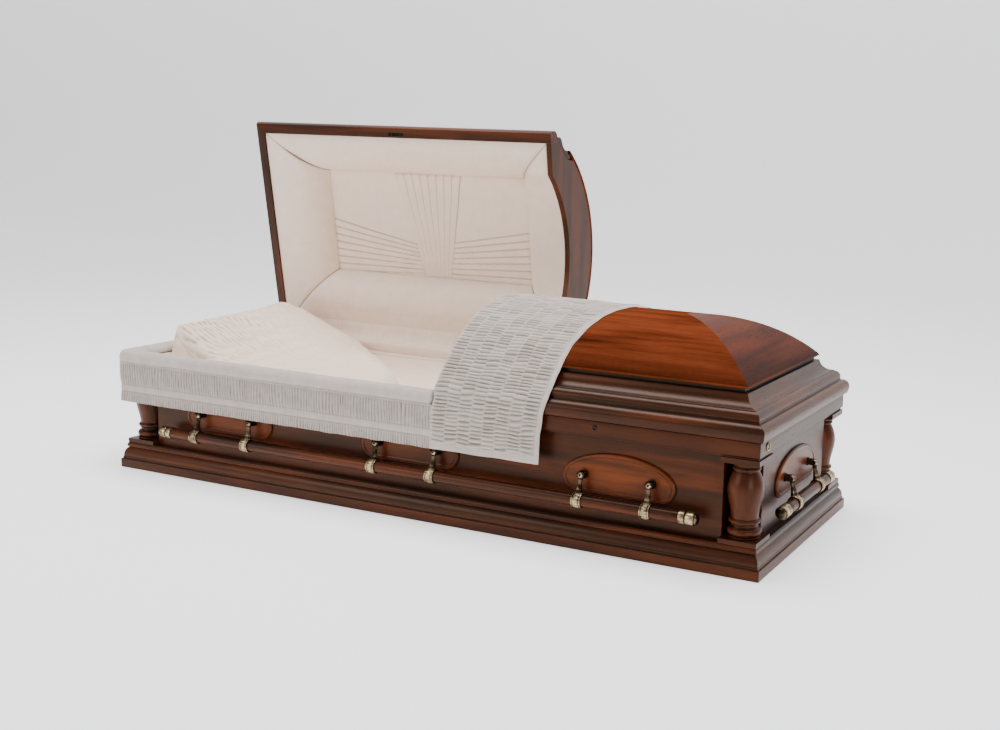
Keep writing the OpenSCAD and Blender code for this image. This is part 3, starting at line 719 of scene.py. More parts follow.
def hollows(outline):
    """glaze for an outline: the share by which each radius lies below its neighbours'"""
    r = np.array([p[0] for p in outline], float)
    around = np.maximum(np.roll(r, 2), np.roll(r, -2))
    return np.clip((around - r) / 1.6, 0, 1)


print("the bar hangs %.0f mm below its pivot" % swing)


# %% Bars, arms and tips
knob_glaze = [0.9, 0.8, 0.5, 0.1, 0, 0, 0, 0, 0.2, 1, 1, 1]
neck_glaze = np.maximum(hollows(neck), np.interp([h for r, h in neck], [-50, -40, -14, -8],
                                                 [0.1, 0.55, 0.8, 0.3]))


def arm(x):
    """the castings of one arm at x along its bar, each as a shape and its glaze"""
    return [(spin([(r, -h) for r, h in knob], 36, (x, 0, -1.0), 1), np.repeat(knob_glaze, 36)),
            (spin(neck, 40, (x, 0, 0), 2, 8, 0.12), np.repeat(neck_glaze, 40)),
            (spin(clasp, 60, (x, 0, -swing), 0, 20, 0.06), np.repeat(hollows(clasp), 60))]


def bar_tip(sign, at):
    """the tip on one end of a bar, where its wood ends"""
    points, faces = spin(tip, 40, (0, 0, 0), 0)
    points = points * (sign, 1, 1) + (sign * at, 0, -swing)
    return (points, faces), np.repeat(hollows(tip), 40)


arm_apart, bar_r, tip_long = 98.5, 16, 52
for side in SIDES:
    wood_half = (900 if side in ("front", "back") else 226) - tip_long
    outline = [(0.3, -wood_half), (bar_r - 0.6, -wood_half), (bar_r, -wood_half + 1)] + \
        [(bar_r, x) for x in np.linspace(-wood_half + 20, wood_half - 20, 9)] + \
        [(bar_r, wood_half - 1), (bar_r - 0.6, wood_half), (0.3, wood_half)]
    points, faces = spin(outline, 40, (0, 0, -swing), 0)
    make("turned_bar_" + side, hang(side, points), faces, grain[side], "handle_" + side,
         "bar_" + side, "red_brown_hardwood")
    castings = [casting for s in pair_places[side] for x in (s - arm_apart, s + arm_apart)
                for casting in arm(x)] + [bar_tip(sign, wood_half) for sign in (-1, 1)]
    points, faces = combine([shape for shape, glaze in castings])
    make("cast_arms_" + side, hang(side, points), faces, brass, "handle_" + side,
         "arms_" + side, "antique_brass", 40,
         values={"glaze": np.concatenate([glaze for shape, glaze in castings])})
dress("handle_lugs", bronze, 0.4)
print("four bars and their arms")

# %% [markdown]
# ## Small fittings
#
# On the ledge there are a brass-rimmed keyhole at the front and a brass cap at the foot end, and
# the open lid's rim carries a dark catch plate.

# %% Keyhole, cap and catch plate
points, faces = spin([(0.6, 0.2), (4.0, 0.3), (5.0, 1.0), (5.8, 1.3), (7.0, 1.2), (8.4, 0.8),
                      (9.0, 0.1)][::-1], 36, (0, 0, 0), 1)
points = points * (1, -1, 1) + (594, -half_w + ledge_set, 332)
make("keyhole_rim", points, faces, bronze, of="key_escutcheon", slot="antique_brass",
     values={"glaze": np.repeat([0.6, 0.2, 0.2, 0.2, 0.8, 1, 1], 36)})
points, faces = spin([(11.2, 0.1), (11.2, 2.2), (10.4, 3.2), (9.0, 3.2), (8.2, 2.4), (7.9, 0.8),
                      (4.0, 0.6), (3.6, 1.6), (0.4, 1.8)], 40,
                     (half_l - ledge_set, -half_w + 72, 331), 0)
make("record_cap", points, faces, brass, of="record_tube_cap", slot="antique_brass",
     values={"glaze": np.repeat([0.3, 0, 0, 0, 0.7, 1, 1, 0.4, 0.3], 40)})


plate_x, plate_y = -477, -350


def stadium(inset):
    """the catch plate's round-ended outline, 64 by 16, at an inset"""
    r, c = 8 - inset, 24
    right = np.radians(np.linspace(-90, 90, 14))
    return np.array([(c + r * math.cos(t), r * math.sin(t)) for t in right]
                    + [(-c - r * math.cos(t), -r * math.sin(t)) for t in right])


steps = [(0, 0.1, 0.5), (0, 0.8, 0), (0.5, 1.1, 0), (1.8, 1.1, 0), (2.3, 0.7, 1), (4.6, 0.6, 1),
         (5.0, 0.3, 1)]
plate = [np.stack([ring[:, 0] + plate_x, ring[:, 1] + plate_y, np.full(len(ring), rim_z - h)], 1)
         for ring, h in ((stadium(d), h) for d, h, g in steps)]
parts = [(np.concatenate(plate), skin(len(steps), 28))]
plate_glaze = [np.repeat([g for d, h, g in steps], 28)]
for x in (plate_x - 17, plate_x + 17):
    parts.append(spin([(0.2, -1.1), (2.4, -1.1), (2.6, -0.8), (2.6, 0.2)], 16,
                      (x, plate_y, rim_z), 2))
    plate_glaze.append(np.zeros(64))
points, faces = combine(parts)
make("catch_plate", points, faces, bronze, "head_lid", "strike_plate", "dark_bronze", 40, True,
     {"glaze": np.concatenate(plate_glaze)})
print("small fittings made")

# %% [markdown]
# ## Soft shapes
#
# Cloth is never even. A repeatable sum of a few slanted waves gives soft, seeded unevenness, and
# a spline rounds a chain of points for rolls and edges.

# %% Unevenness and rounding
def drift(a, b, size, seed):
    """smooth seeded height over a and b, about -1 to 1, in waves about size long"""
    rng = np.random.default_rng(seed)
    total = 0
    for _ in range(9):
        turn, shift = rng.uniform(0, 2 * math.pi, 2)
        rate = 2 * math.pi / size * rng.uniform(0.55, 1.7)
        total = total + np.sin(rate * (a * math.cos(turn) + b * math.sin(turn)) + shift)
    return total / 4.5


def rounded(points, n, closed=True):
    """n points on a smooth curve through the given ones"""
    p = np.array(points, float)
    m = len(p) if closed else len(p) - 1
    t = np.linspace(0, m, n, endpoint=not closed)
    i = np.minimum(t.astype(int), m - 1)
    f = (t - i)[:, None]

    def at(k):
        return p[k % len(p)] if closed else p[np.clip(k, 0, len(p) - 1)]
    a, b, c, d = at(i - 1), at(i), at(i + 1), at(i + 2)
    return 0.5 * (2 * b + (c - a) * f + (2 * a - 5 * b + 4 * c - d) * f ** 2
                  + (3 * b - a - 3 * c + d) * f ** 3)


def fold(x, sharp=0.6):
    """rounded ridges once for each whole step of x, with narrow valleys between them"""
    return np.abs(np.sin(math.pi * x)) ** sharp


print("soft shapes are ready")

# %% [markdown]
# ## Puffed borders in the lids
#
# Inside each lid four stuffed borders slope from the rim to a deeper middle panel. They meet in
# tucked seams at the corners. Each border is a closed pad: its face bows out, and close to the
# seams small gathers run across it.

# %% The openings of the lids and the arch
rail, end_board = 40.3, 18.3
inner_y = half_w - rail
head_in = (-half_l + rail, head_cut - end_board)
foot_in = (foot_cut + end_board, half_l - rail)
narrow, broad = 131, 190
arch_half, arch_rise = 240, 85
arch_r = (arch_half ** 2 + arch_rise ** 2) / (2 * arch_rise)


def arch(y):
    """height of the arch at the split above the rim, at a distance y from the middle"""
    y = np.clip(np.abs(y), 0, arch_half)
    return np.sqrt(arch_r ** 2 - y * y) - (arch_r - arch_rise)


print("the arch rises %.0f mm" % arch(0))


# %% Puffed borders
lip, depth = 6, 88


def pad_outline(wide):
    """a pad's cut: distances in and heights, face first, and how much each point is seen"""
    face = bow((0, lip), (0.3 * wide, 2), -1, 9) \
        + bow((0.34 * wide, 2.2), (wide, depth), -0.16 * wide, 30)
    back = [(wide, 95), (0.8 * wide, 95), (0.5 * wide, 66), (0.28 * wide, 44), (0, 40)]
    d, h = np.array([p[:2] for p in face] + back).T
    shown = np.zeros(len(d))
    shown[:len(face)] = np.sin(np.linspace(0.02, math.pi - 0.02, len(face))) ** 0.5
    return d, h, shown


def border_pad(name, lid, side, x0, x1, widths, seed, split):
    """a pad on one side of a lid's opening x0 to x1; split is the side where the lids meet"""
    wide = widths[side]
    before, after = {"front": ("head", "foot"), "back": ("foot", "head"),
                     "head": ("back", "front"), "foot": ("front", "back")}[side]
    run = (x1 - x0) if side in ("front", "back") else 2 * inner_y
    d, h, shown = pad_outline(wide)
    n = max(40, int(run / 7))
    t = (0.5 - 0.5 * np.cos(np.linspace(0, math.pi, n))) * 0.5 + np.linspace(0, 1, n) * 0.5
    first = -run / 2 + widths[before] * d / wide
    last = run / 2 - widths[after] * d / wide
    s = first[None, :] + (last - first)[None, :] * t[:, None]
    seam = np.minimum(s - first[None, :], last[None, :] - s)
    dd = np.repeat(d[None, :], n, 0)
    lift = (1.6 * drift(s, dd, 190, seed) + 1.3 * fold(dd / 13 + 0.3 * drift(s, dd, 60, seed + 1))
            * np.exp(-seam / 26)) * shown
    tuck = 6.0 * np.exp(-(seam / 9) ** 2) * np.where(shown > 0, 1, 0)
    from_middle = {"front": inner_y - dd, "back": inner_y - dd}.get(side, s)
    near = 1.0 if side == split else 0.0
    if before == split:
        near = np.exp(-((s - first[None, :]) / 40) ** 2)
    if after == split:
        near = np.exp(-((last[None, :] - s) / 40) ** 2)
    # beside the split the pad's rim follows the arch of the lid's end board
    floor = lip + near * np.maximum(arch(from_middle) - 4.2, 0)
    hh = h[None, :] + 0 * s
    hh = np.where(shown[None, :] > 0, floor + (depth - floor) * (hh - lip) / (depth - lip),
                  np.maximum(hh, floor + lip))
    eased = shown * np.clip(d / 20, 0, 1) if side == split else shown
    hh = hh - lift * np.where(eased > 0, 1, 0) + tuck * eased
    mx = (x0 + x1) / 2
    places = {"front": (mx + s, dd - inner_y), "back": (mx - s, inner_y - dd),
              "foot": (x1 - dd, s), "head": (x0 + dd, -s)}
    x, y = places[side]
    points = np.stack([x, y, rim_z + hh], -1).reshape(-1, 3)
    line = np.exp(-(seam / 3.0) ** 2) + (side == "back") * 0.9 * np.exp(-(dd / 7) ** 2)
    obj = make(name, points, skin(n, len(d)), ivory, lid, (), "ivory_cloth", 60,
               lid == "head_lid", {"seam": np.clip(line * (shown > 0), 0, 1)})
    return obj


for lid, (x0, x1), widths in (
        ("head_lid", head_in, {"front": narrow, "back": broad, "head": broad, "foot": narrow}),
        ("foot_lid", foot_in, {"front": narrow, "back": broad, "head": narrow, "foot": broad})):
    for k, side in enumerate(SIDES):
        pad = border_pad("%s_puff_%s" % (lid, side), lid, side, x0, x1, widths, 20 + k,
                         "foot" if lid == "head_lid" else "head")
        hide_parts(lid + "_puffs")
print("eight puffed borders")

# %% [markdown]
# ## The pleated middle panel
#
# The middle of the head lid has a fan of upright pleats, and at each side a fan of level pleats
# that closes towards it. A knife pleat rises slowly and drops at its fold, so its height is a
# slope that starts again at each fold, and the fold line is painted darker as the shade under the
# fold.

# %% Pleats and the panel's points
def pleats(share, count):
    """height 0..1 and fold line of knife pleats for a share 0..1 across a fan"""
    inside = (share > 0) & (share < 1)
    step = (share * count) % 1.0
    lift = np.clip(step / 0.14, 0, 1) * (1 - 0.85 * step)
    line = np.exp(-(np.minimum(step, 1 - step) / 0.07) ** 2)
    return np.where(inside, lift, 0), np.where(inside | (np.abs(share - 0.5) < 0.51), line, 0)


y0, y1 = -inner_y + narrow, inner_y - broad
panel_up = 90.5


def panel_grid(nx, ny):
    """points over the middle panel from x0 to x1, and how far each is from its edge"""
    x, y = np.meshgrid(np.linspace(x0 + 0.5, x1 - 0.5, nx), np.linspace(y0 + 0.5, y1 - 0.5, ny),
                       indexing="ij")
    return x, y, np.minimum(np.minimum(x - x0, x1 - x), np.minimum(y - y0, y1 - y))


print("the panel is %.0f mm high" % (y1 - y0))

# %% The fan in the head lid
x0, x1 = head_in[0] + broad, head_in[1] - narrow
x, y, edge = panel_grid(400, 150)
t = (y - y0) / (y1 - y0)
left, right = -559 + 96 * t, -296 - 68 * t
middle, line_a = pleats((x - left) / (right - left), 8)
a = np.clip((x - x0) / (left - x0), 0, 1)
side_a, line_b = pleats((y - (-35 + 72 * a)) / ((153 - 15 * a) - (-35 + 72 * a)), 7)
b = np.clip((x1 - x) / (x1 - right), 0, 1)
side_b, line_c = pleats((y - (-29 + 52 * b)) / ((152 - 2 * b) - (-29 + 52 * b)), 7)
in_a, in_b = x < left - 1, x > right + 1
lift = 8.0 * middle + np.where(in_a, 6.5 * side_a, 0) + np.where(in_b, 6.5 * side_b, 0)
seam = line_a + np.where(in_a, line_b, 0) + np.where(in_b, line_c, 0)
lift = (lift + 1.2 * drift(x, y, 160, 5)) * np.clip(edge / 8, 0, 1)
points = np.stack([x, y, rim_z + panel_up - lift], -1).reshape(-1, 3)
# painted shade along each pleat's fold line
fan = make("pleated_fan_panel", points, skin(400, 150, False), ivory, "head_lid",
           "head_lid_panel", "ivory_cloth", 80, True, {"seam": np.clip(seam * 0.95, 0, 1)})
(x1 - x0) * MM * 1.12
print("pleated panel of", x.size, "points")

# %% The plain panel in the foot lid
x0, x1 = foot_in[0] + narrow, foot_in[1] - broad
x, y, edge = panel_grid(120, 70)
lift = 2.0 * drift(x, y, 150, 8) * np.clip(edge / 20, 0, 1)
points = np.stack([x, y, rim_z + panel_up - lift], -1).reshape(-1, 3)
plain = make("plain_foot_panel", points, skin(120, 70, False), ivory, "foot_lid",
             "foot_lid_panel", "ivory_cloth", 80)
(x1 - x0) * MM
print("plain panel of", x.size, "points")

# %% [markdown]
# ## The mattress
#
# The mattress is a wide, shallow cushion with round corners. Its cloth rises a little where it
# meets the walls, so no hard edge shows. It is a stack of rings, each a little further in.

# %% Mattress
def round_box(hx, hy, r, z, n=60):
    """a rectangle with rounded corners, as a ring of points"""
    spots = []
    for cx, cy, start in ((1, 1, 0), (-1, 1, 90), (-1, -1, 180), (1, -1, 270)):
        for t in np.radians(np.linspace(start, start + 90, n // 4)):
            spots.append((cx * (hx - r) + r * math.cos(t), cy * (hy - r) + r * math.sin(t), z))
    return np.array(spots)


bed_half, bed_corner = (992, 304), 280
rings = []
for m, z in ((6, 22), (1, 60), (1, bed_z - 4), (1, bed_z + 6), (4, bed_z + 9), (12, bed_z + 8),
             (26, bed_z + 4), (50, bed_z + 1), (90, bed_z - 1), (140, bed_z - 1),
             (200, bed_z), (268, bed_z)):
    ring = round_box(bed_half[0] - m, bed_half[1] - m, bed_corner - m, z, 240)
    if z > bed_z - 3:
        ring[:, 2] += 1.2 * drift(ring[:, 0], ring[:, 1], 230, 3) * min(m / 40, 1)
    rings.append(ring)
mattress = make("mattress", np.concatenate(rings), skin(len(rings), len(rings[0])), ivory,
                of="bed", slot="ivory_cloth", sharp=60)
print("mattress top at %.0f mm" % bed_z)

# %% [markdown]
# ## The wall lining
#
# The walls have a thin padded lining that steps round the corner posts. Small pads cover the
# corner blocks, and a band hides the inside of the ledge. Lining and band are closed outlines
# carried round a plan, so both have a thickness like the real padding.

# %% Plans and bands
wall_in, post_in = 60, 138


def walls(m):
    """the plan inside the box, a margin m from its walls, which steps round the corner posts"""
    x, y = half_l - wall_in - m, half_w - wall_in - m
    nx, ny = half_l - post_in - m, half_w - post_in - m
    return np.array([(-nx, -y), (nx, -y), (nx, -ny), (x, -ny), (x, ny), (nx, ny), (nx, y),
                     (-nx, y), (-nx, ny), (-x, ny), (-x, -ny), (-nx, -ny)])


def along_plan(corners, steps):
    """points along a closed plan, with a number of steps for each of its sides in turn"""
    parts = []
    for i in range(len(corners)):
        a, b = corners[i], corners[(i + 1) % len(corners)]
        t = np.linspace(0, 1, steps[i % len(steps)], endpoint=False)[:, None]
        parts.append(a + (b - a) * t)
    return np.concatenate(parts)


def band(profile, plan, steps, seed):
    """a padded band: a closed outline of (margin, height) carried round a plan"""
    spots = np.stack([along_plan(plan(m), steps) for m, z in profile], 1)
    n, k = spots.shape[:2]
    z = np.repeat(profile[None, :, 1], n, 0)
    z = z + 0.8 * drift(np.arange(n)[:, None] * 8.0, z, 120, seed)
    return np.dstack([spots, z]).reshape(-1, 3), skin(n, k, loop=True)


print("the plan inside the box has", len(walls(0)), "corners")

# %% The lining itself
wall_outline = rounded([(0.8, 84), (0.8, 200), (0.8, 308), (2.5, 316), (8, 318.5), (13, 314),
                        (14.4, 300), (14.0, 200), (13, 90), (7, 83)], 30)
ledge_band = rounded([(0.6, 320), (0.6, 345), (1.5, 350), (5, 351.2), (8.5, 347), (9.5, 334),
                      (8, 322), (4, 318)], 20)
parts = [band(wall_outline, walls, (180, 10, 10, 60, 10, 10), 31),
         band(ledge_band, lambda m: np.array([(-1, -1), (1, -1), (1, 1), (-1, 1)])
              * (half_l - wall_in - m, half_w - wall_in - m), (200, 64), 32)]
for sx in (-1, 1):
    for sy in (-1, 1):
        rings = [round_box(38.4 - m, 38.4 - m, 9 - min(m, 5), z, 40)
                 + (sx * (half_l - 99.2), sy * (half_w - 99.2), 0)
                 for m, z in ((0, 303.6), (0, 311), (1.2, 315.4), (4, 318), (14, 320.6),
                              (28, 321.6))]
        parts.append((np.concatenate(rings), skin(len(rings), len(rings[0]))))
points, faces = combine(parts)
lining = make("wall_lining", points, faces, ivory, "box", "box_lining", "ivory_cloth", 70)
print("wall lining with", len(points), "points")

# %% [markdown]
# ## The cloth over the hinge
#
# A strip of cloth is fixed to the back wall and to the open lid, so the hinges and the edges of
# the wood never show inside. Small upright gathers give it the spare length that the bend needs.

# %% Hinge cloth
line = rounded([(311.5, 312), (313, 335), (316, 348), (324, 354), (338, 357.5), (350, 365),
                (357, 378), (360, 392), (363.5, 406)], 34, closed=False)
x = np.linspace(-1002, 103, 420)
v = np.linspace(0, 1, len(line))
xx, vv = np.meshgrid(x, v, indexing="ij")
ripple = fold(xx / 17 + 0.5 * drift(xx, vv * 60, 120, 41)) * np.sin(math.pi * vv) ** 0.7
slope = np.gradient(line, axis=0)
slope /= np.linalg.norm(slope, axis=1)[:, None]
yy = line[None, :, 0] - slope[None, :, 1] * 1.5 * ripple
zz = line[None, :, 1] + slope[None, :, 0] * 1.5 * ripple
points = np.stack([xx, yy, zz], -1).reshape(-1, 3)
# painted shade in the valleys between the gathers, most in the middle of the strip
flap = make("hinge_cloth", points, skin(420, 34, False), ivory, None, (), "ivory_cloth", 80,
            values={"seam": (1 - ripple) * 0.12 * np.sin(math.pi * vv)})
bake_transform(flap)
print("hinge cloth %.2f m long" % ((x[-1] - x[0]) * MM))

# %% [markdown]
# ## The apron's path
#
# The apron lies on the ledge along the open half and round the head end. Its roll, its skirt and
# its piping all follow one path, which turns the corner on a radius, so the path is made once.

# %% The path round the corner
corner_r, apron_end, apron_back = 30, 104.5, 326


def apron_path(u, counts):
    """x and y for insets u, one row for each step along the front, the corner and the end"""
    u = np.broadcast_to(np.asarray(u, float), (sum(counts), np.shape(u)[-1]))
    turn_r = np.maximum(corner_r - u, 0.0)
    cx, cy = -half_l + np.maximum(u, corner_r), -half_w + np.maximum(u, corner_r)
    front, corner, side = np.split(np.arange(len(u)), np.cumsum(counts[:2]))
    x, y = np.empty_like(u), np.empty_like(u)
    t = np.linspace(0, 1, counts[0], endpoint=False)[:, None]
    x[front], y[front] = apron_end + (cx[front] - apron_end) * t, -half_w + u[front]
    t = np.radians(np.linspace(-90, -180, counts[1], endpoint=False))[:, None]
    x[corner] = cx[corner] + turn_r[corner] * np.cos(t)
    y[corner] = cy[corner] + turn_r[corner] * np.sin(t)
    t = np.linspace(0, 1, counts[2])[:, None]
    x[side], y[side] = -half_l + u[side], cy[side] + (apron_back - cy[side]) * t
    return x, y


print("the apron turns the corner on a radius of", corner_r, "mm")

# %% [markdown]
# ## The roll of the apron
#
# A stuffed roll covers the ledge. Its outline is rounded and swells unevenly along the path, and
# it closes at both ends. When the lid comes down the real roll is pressed flat.

# %% The roll
roll_outline = rounded([(52, 350), (52.5, 358), (46, 367), (32, 373.5), (15, 375.5), (2, 371),
                        (-4.2, 360), (-5, 349), (-3.5, 339.5), (3, 334.5), (11, 336),
                        (15, 344), (17, 349.6), (34, 349.7)], 40)
u, z = roll_outline.T
counts = (240, 12, 150)
n = sum(counts)
s = np.arange(n)[:, None] * 4.85
swell = 1.0 * drift(s, z[None, :], 260, 51) + 0.5 * drift(s, z[None, :] * 3, 40, 52)
swell = swell - 0.5 * fold(s / 9 + drift(s, 0, 80, 53)) * (z < 346) * (u < 8)
middle = roll_outline.mean(0)
end = np.minimum(np.arange(n), np.arange(n)[::-1])[:, None] / 3.0
close = np.sqrt(np.clip(1 - (1 - np.clip(end, 0, 1)) ** 2, 0.02, 1))
uu = middle[0] + (u - middle[0]) * close
zz = middle[1] + (z - middle[1]) * close
outward = np.stack([u - middle[0], z - middle[1]], 0)
outward /= np.linalg.norm(outward, axis=0)
uu = uu + outward[0] * swell * (z > 336)
zz = zz + outward[1] * swell * (z > 350.5)
points = np.stack([*apron_path(uu, counts), zz], -1)
roll_piece = make("apron_roll_cloth", points.reshape(-1, 3), skin(n, len(u)), pearl, "box",
                  "apron_roll", "ivory_cloth", 70)
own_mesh(roll_piece)
print("apron roll of", n, "rings")

# %% [markdown]
# ## The skirt of the apron
#
# From under the roll hangs a skirt in three parts: a gathered band, a plain strip, and a frill.
# Each height has its own depth of gather, and shade is painted into the valleys and a little over
# the gathered parts.

# %% The skirt
levels = np.concatenate([np.linspace(338, 272, 20), np.linspace(269.5, 247, 10),
                         np.linspace(244.5, 215.5, 12)])
knots = [215.5, 230, 243, 248, 252, 262, 268, 272, 285, 318, 330, 338]
depth = np.interp(levels, knots, [4.4, 3.2, 1.6, 0.2, 0.8, 0.8, 0.2, 1.8, 3.8, 3.8, 2.6, 0.6])
hang_u = np.interp(levels, knots, [-3.6, -3.2, -2.6, -1.4, -2.6, -2.8, -1.2, -2.2, -3.4, -3.6,
                                   -3.2, -1.0])
counts = (680, 22, 420)
n = sum(counts)
s = np.concatenate([np.linspace(0, 1140, counts[0], endpoint=False),
                    np.linspace(1140, 1190, counts[1], endpoint=False),
                    np.linspace(1190, 1870, counts[2])])[:, None]
h = levels[None, :]
upper = fold(s / 10.0 + 0.55 * drift(s, h * 0.4, 120, 61), 0.7)
lower = fold(s / 8.5 + 0.7 * drift(s, h * 0.5, 90, 62), 0.7)
wave = np.where(h > 258, upper, lower)
u_all = hang_u[None, :] - depth[None, :] * (wave - 0.5)
x, y = apron_path(u_all, counts)
zz = np.repeat(h, n, 0) + 0.9 * drift(s, h, 60, 63) * (h < 246)
# painted shade in the valleys of the gathers and a little over the gathered parts; the two dark
# lines are the seams where the plain strip is joined
seam = (1 - wave) * (0.62 + 0.25 * drift(s, h, 30, 64)) * np.clip(depth / 2.4, 0, 1)[None, :]
seam = seam + 0.14 * (depth > 0.9)[None, :]
seam = seam + 0.55 * np.exp(-((h - 269) / 1.6) ** 2) + 0.55 * np.exp(-((h - 247.5) / 1.6) ** 2)
points = np.stack([x, y, zz], -1).reshape(-1, 3)
skirt = make("apron_skirt_cloth", points, skin(n, len(levels), False), pearl, "box",
             "apron_skirt", "gathered_cloth", 80, values={"seam": np.clip(seam, 0, 1)})
print("skirt of", n * len(levels), "points")

# %% The piping along the roll
around = np.linspace(0, 2 * math.pi, 10, endpoint=False)
x, y = apron_path(-4.4 - 1.5 * np.cos(around), (300, 12, 180))
points = np.stack([x, y, np.broadcast_to(337 + 1.5 * np.sin(around), x.shape)], -1)
make("apron_piping", points.reshape(-1, 3), skin(*x.shape), pearl, "box", (), "gathered_cloth", 70)
print("piping of", x.size, "points")

# %% [markdown]
# ## The throw
#
# A shirred throw is fixed to the foot lid and hangs over its front. Eight columns of level
# gathers run between upright stitch lines, inside a plain hem. The cloth's own line comes first,
# up the front, over the torus and along the crown. Its two edges flare a little towards the hem.

# %% The throw's line and its two edges
crown_line = [(u, crown_z + float(crown_top(u)) + 4.6) for u in np.linspace(90, half_w + 106, 14)]
hang_line = rounded([(-1.6, 215), (-1.8, 260), (-2.0, 320), (-1.6, 370), (1.5, 388),
                     (12, 402.5), (38, 433), (62, 458), (77, 474)] + crown_line, 900, False)
steps = np.linalg.norm(np.diff(hang_line, axis=0), axis=1)
total = np.concatenate([[0], np.cumsum(steps)])
a = np.linspace(0, 1, 130)
v = np.linspace(0, total[-1], 560)
u, z = (np.interp(v, total, hang_line[:, k]) for k in (0, 1))
du, dz = np.gradient(u), np.gradient(z)
size = np.hypot(du, dz)
du, dz = du / size, dz / size
aa, vv = np.meshgrid(a, v, indexing="ij")
left_x = np.interp(z, [215, 325, 340, 352, 420, 560], [96, 101, 106, 107.5, 107.5, 106.8])
right_x = np.where(u < 79, np.interp(z, [215, 300, 350, 395, 430], [437, 441, 449, 460, 460]),
                   np.interp(u, [79, 130, 179, 300, 379, 490], [460, 463, 472, 496, 516, 540]))
print("throw %.2f m along its line" % (total[-1] * MM))

# %% [markdown]
# ### The gathers of the throw
#
# Rows of puckers differ from column to column, as they do when each column is drawn up on its own
# thread. The stitch lines pull the cloth down between the columns, and the hem stays plain.

# %% The throw's gathers
column = np.clip((aa - 0.022) / 0.928, 0, 1) * 8
k = np.minimum(column.astype(int), 7)
rng = np.random.default_rng(71)
beside = np.minimum(column - k, k + 1 - column)
inside = (1 - 0.62 * np.exp(-(beside / 0.08) ** 2)) * (aa > 0.012) * (aa < 0.955)
pitch = rng.uniform(11.0, 12.6, 8)[k]
row = vv / pitch + rng.uniform(0, 0.7, 8)[k] + 0.22 * drift(aa * 340, vv, 90, 72) \
    + 0.35 * drift(vv, k * 91.0, 60, 76)
tall = rng.uniform(0.45, 1.2, (8, 130))[k, np.clip(np.floor(row), 0, 129).astype(int)]
ridge = fold(row, 0.9)
hem = np.clip((vv - 17) / 5, 0, 1) * np.clip((v[-1] - 10 - vv) / 8, 0, 1)
flatter = np.interp(z, [430, 560], [1.0, 0.62])[None, :]
lift = 7.6 * ridge * inside * tall * hem * flatter + 0.8 * drift(aa * 330, vv, 150, 74)
lift = lift + 1.6 * np.exp(-((aa - 0.968) / 0.012) ** 2) + 1.4 * np.exp(-((vv - 9) / 8) ** 2)
lift = lift - 2.2 * np.exp(-(aa / 0.006) ** 2) - 2.2 * np.exp(-((1 - aa) / 0.006) ** 2)
past_apron = np.exp(-(aa / 0.09) ** 2) * np.interp(z, [344, 356], [1, 0])[None, :]
lift = lift + 5.2 * past_apron
x = left_x + (right_x - left_x)[None, :] * aa + 1.6 * drift(vv, 0 * vv, 90, 75) * (aa - 0.2)
uu, zz = u - dz * (lift - 1.0), z + du * (lift - 1.0)
zz = zz + 2.0 * drift(aa * 340, 0 * vv, 120, 77) * np.exp(-vv / 40)
points = np.stack([x, uu - half_w, zz], -1).reshape(-1, 3)
# painted shade in the valleys between the rows of gathers, deeper where the rows stand taller
dark = (1 - ridge) ** 1.2 * np.clip(inside * 1.2, 0, 1) * (0.35 + 0.65 * tall) * hem * 0.62
stitch = np.exp(-((aa - 0.957) / 0.006) ** 2) * (0.3 + 0.3 * np.sin(vv * 1.1)) * hem
throw = make("shirred_throw", points, skin(130, 560, False), pearl, "foot_lid", "throw",
             "gathered_cloth", 80, values={"seam": np.clip(dark + stitch, 0, 1)})
print("throw gathered in 8 columns, up to %.1f mm high" % lift.max())

# %% [markdown]
# ## The pillow
#
# The pillow is a wedge, high at the head and thin towards the foot, where it ends in a long
# curve. It is drawn as a top over a flat underside, which later steps turn into a cushion.

# %% Draw the wedge
p = np.linspace(0, 1, 130)
q = np.linspace(0, 1, 84)
pp, qq = np.meshgrid(p, q, indexing="ij")
foot_y = [-297, -232, -140, -43, 120, 230, 297]
foot_x = [-112, -122, -172, -246, -420, -548, -632]
head_x, back_y = -986, 296
front_line = np.interp(head_x + 874 * p, [-986, -740, -600, 0], [-262, -294, -297, -297])
yy = front_line[:, None] + (back_y - front_line[:, None]) * qq
xx = head_x + (np.interp(yy, foot_y, foot_x) - head_x) * pp
at_front = np.interp(xx, [-986, -960, -900, -820, -740, -620, -300, -90],
                     [446, 442, 414, 374, 351, 343, 340, 334])
at_back = np.interp(xx, [-986, -930, -850, -760, -690, -600], [472, 470, 452, 414, 384, 352])
blend = np.clip((yy + 262) / 558, 0, 1) ** 1.1
top = at_front + (at_back - at_front) * blend
from_head, from_front, from_back = xx - head_x, yy - front_line[:, None], back_y - yy
from_foot = (np.interp(yy, foot_y, foot_x) - xx) * 0.8
near_head = np.clip((-740 - xx) / 246, 0, 1)


def shoulder(distance, radius):
    """0 at an edge, rising to 1 on a quarter circle"""
    t = np.clip(distance / radius, 0, 1)
    return np.sqrt(np.clip(1 - (1 - t) ** 2, 0, 1))


rise = shoulder(from_head, 16) * shoulder(from_back, 34) * shoulder(from_foot, 34)
rise = rise * np.clip(from_front / (16 + 24 * near_head), 0, 1) ** (0.5 + 0.2 * near_head)
base = bed_z + 1.5
above = np.stack([xx, yy, base + (top - base) * rise], -1).reshape(-1, 3)
below = np.stack([xx, yy, np.full_like(xx, base)], -1).reshape(-1, 3)
count = len(above)
faces = skin(130, 84, False) + [f[::-1] for f in skin(130, 84, False, start=count)]
pillow = make("head_pillow", np.concatenate([above, below]), faces, ivory, None, (), None, 80)
bm = bmesh.new()
bm.from_mesh(pillow.data)
bmesh.ops.remove_doubles(bm, verts=bm.verts, dist=0.0004)
bm.to_mesh(pillow.data)
bm.free()
print("wedge of", count, "points")

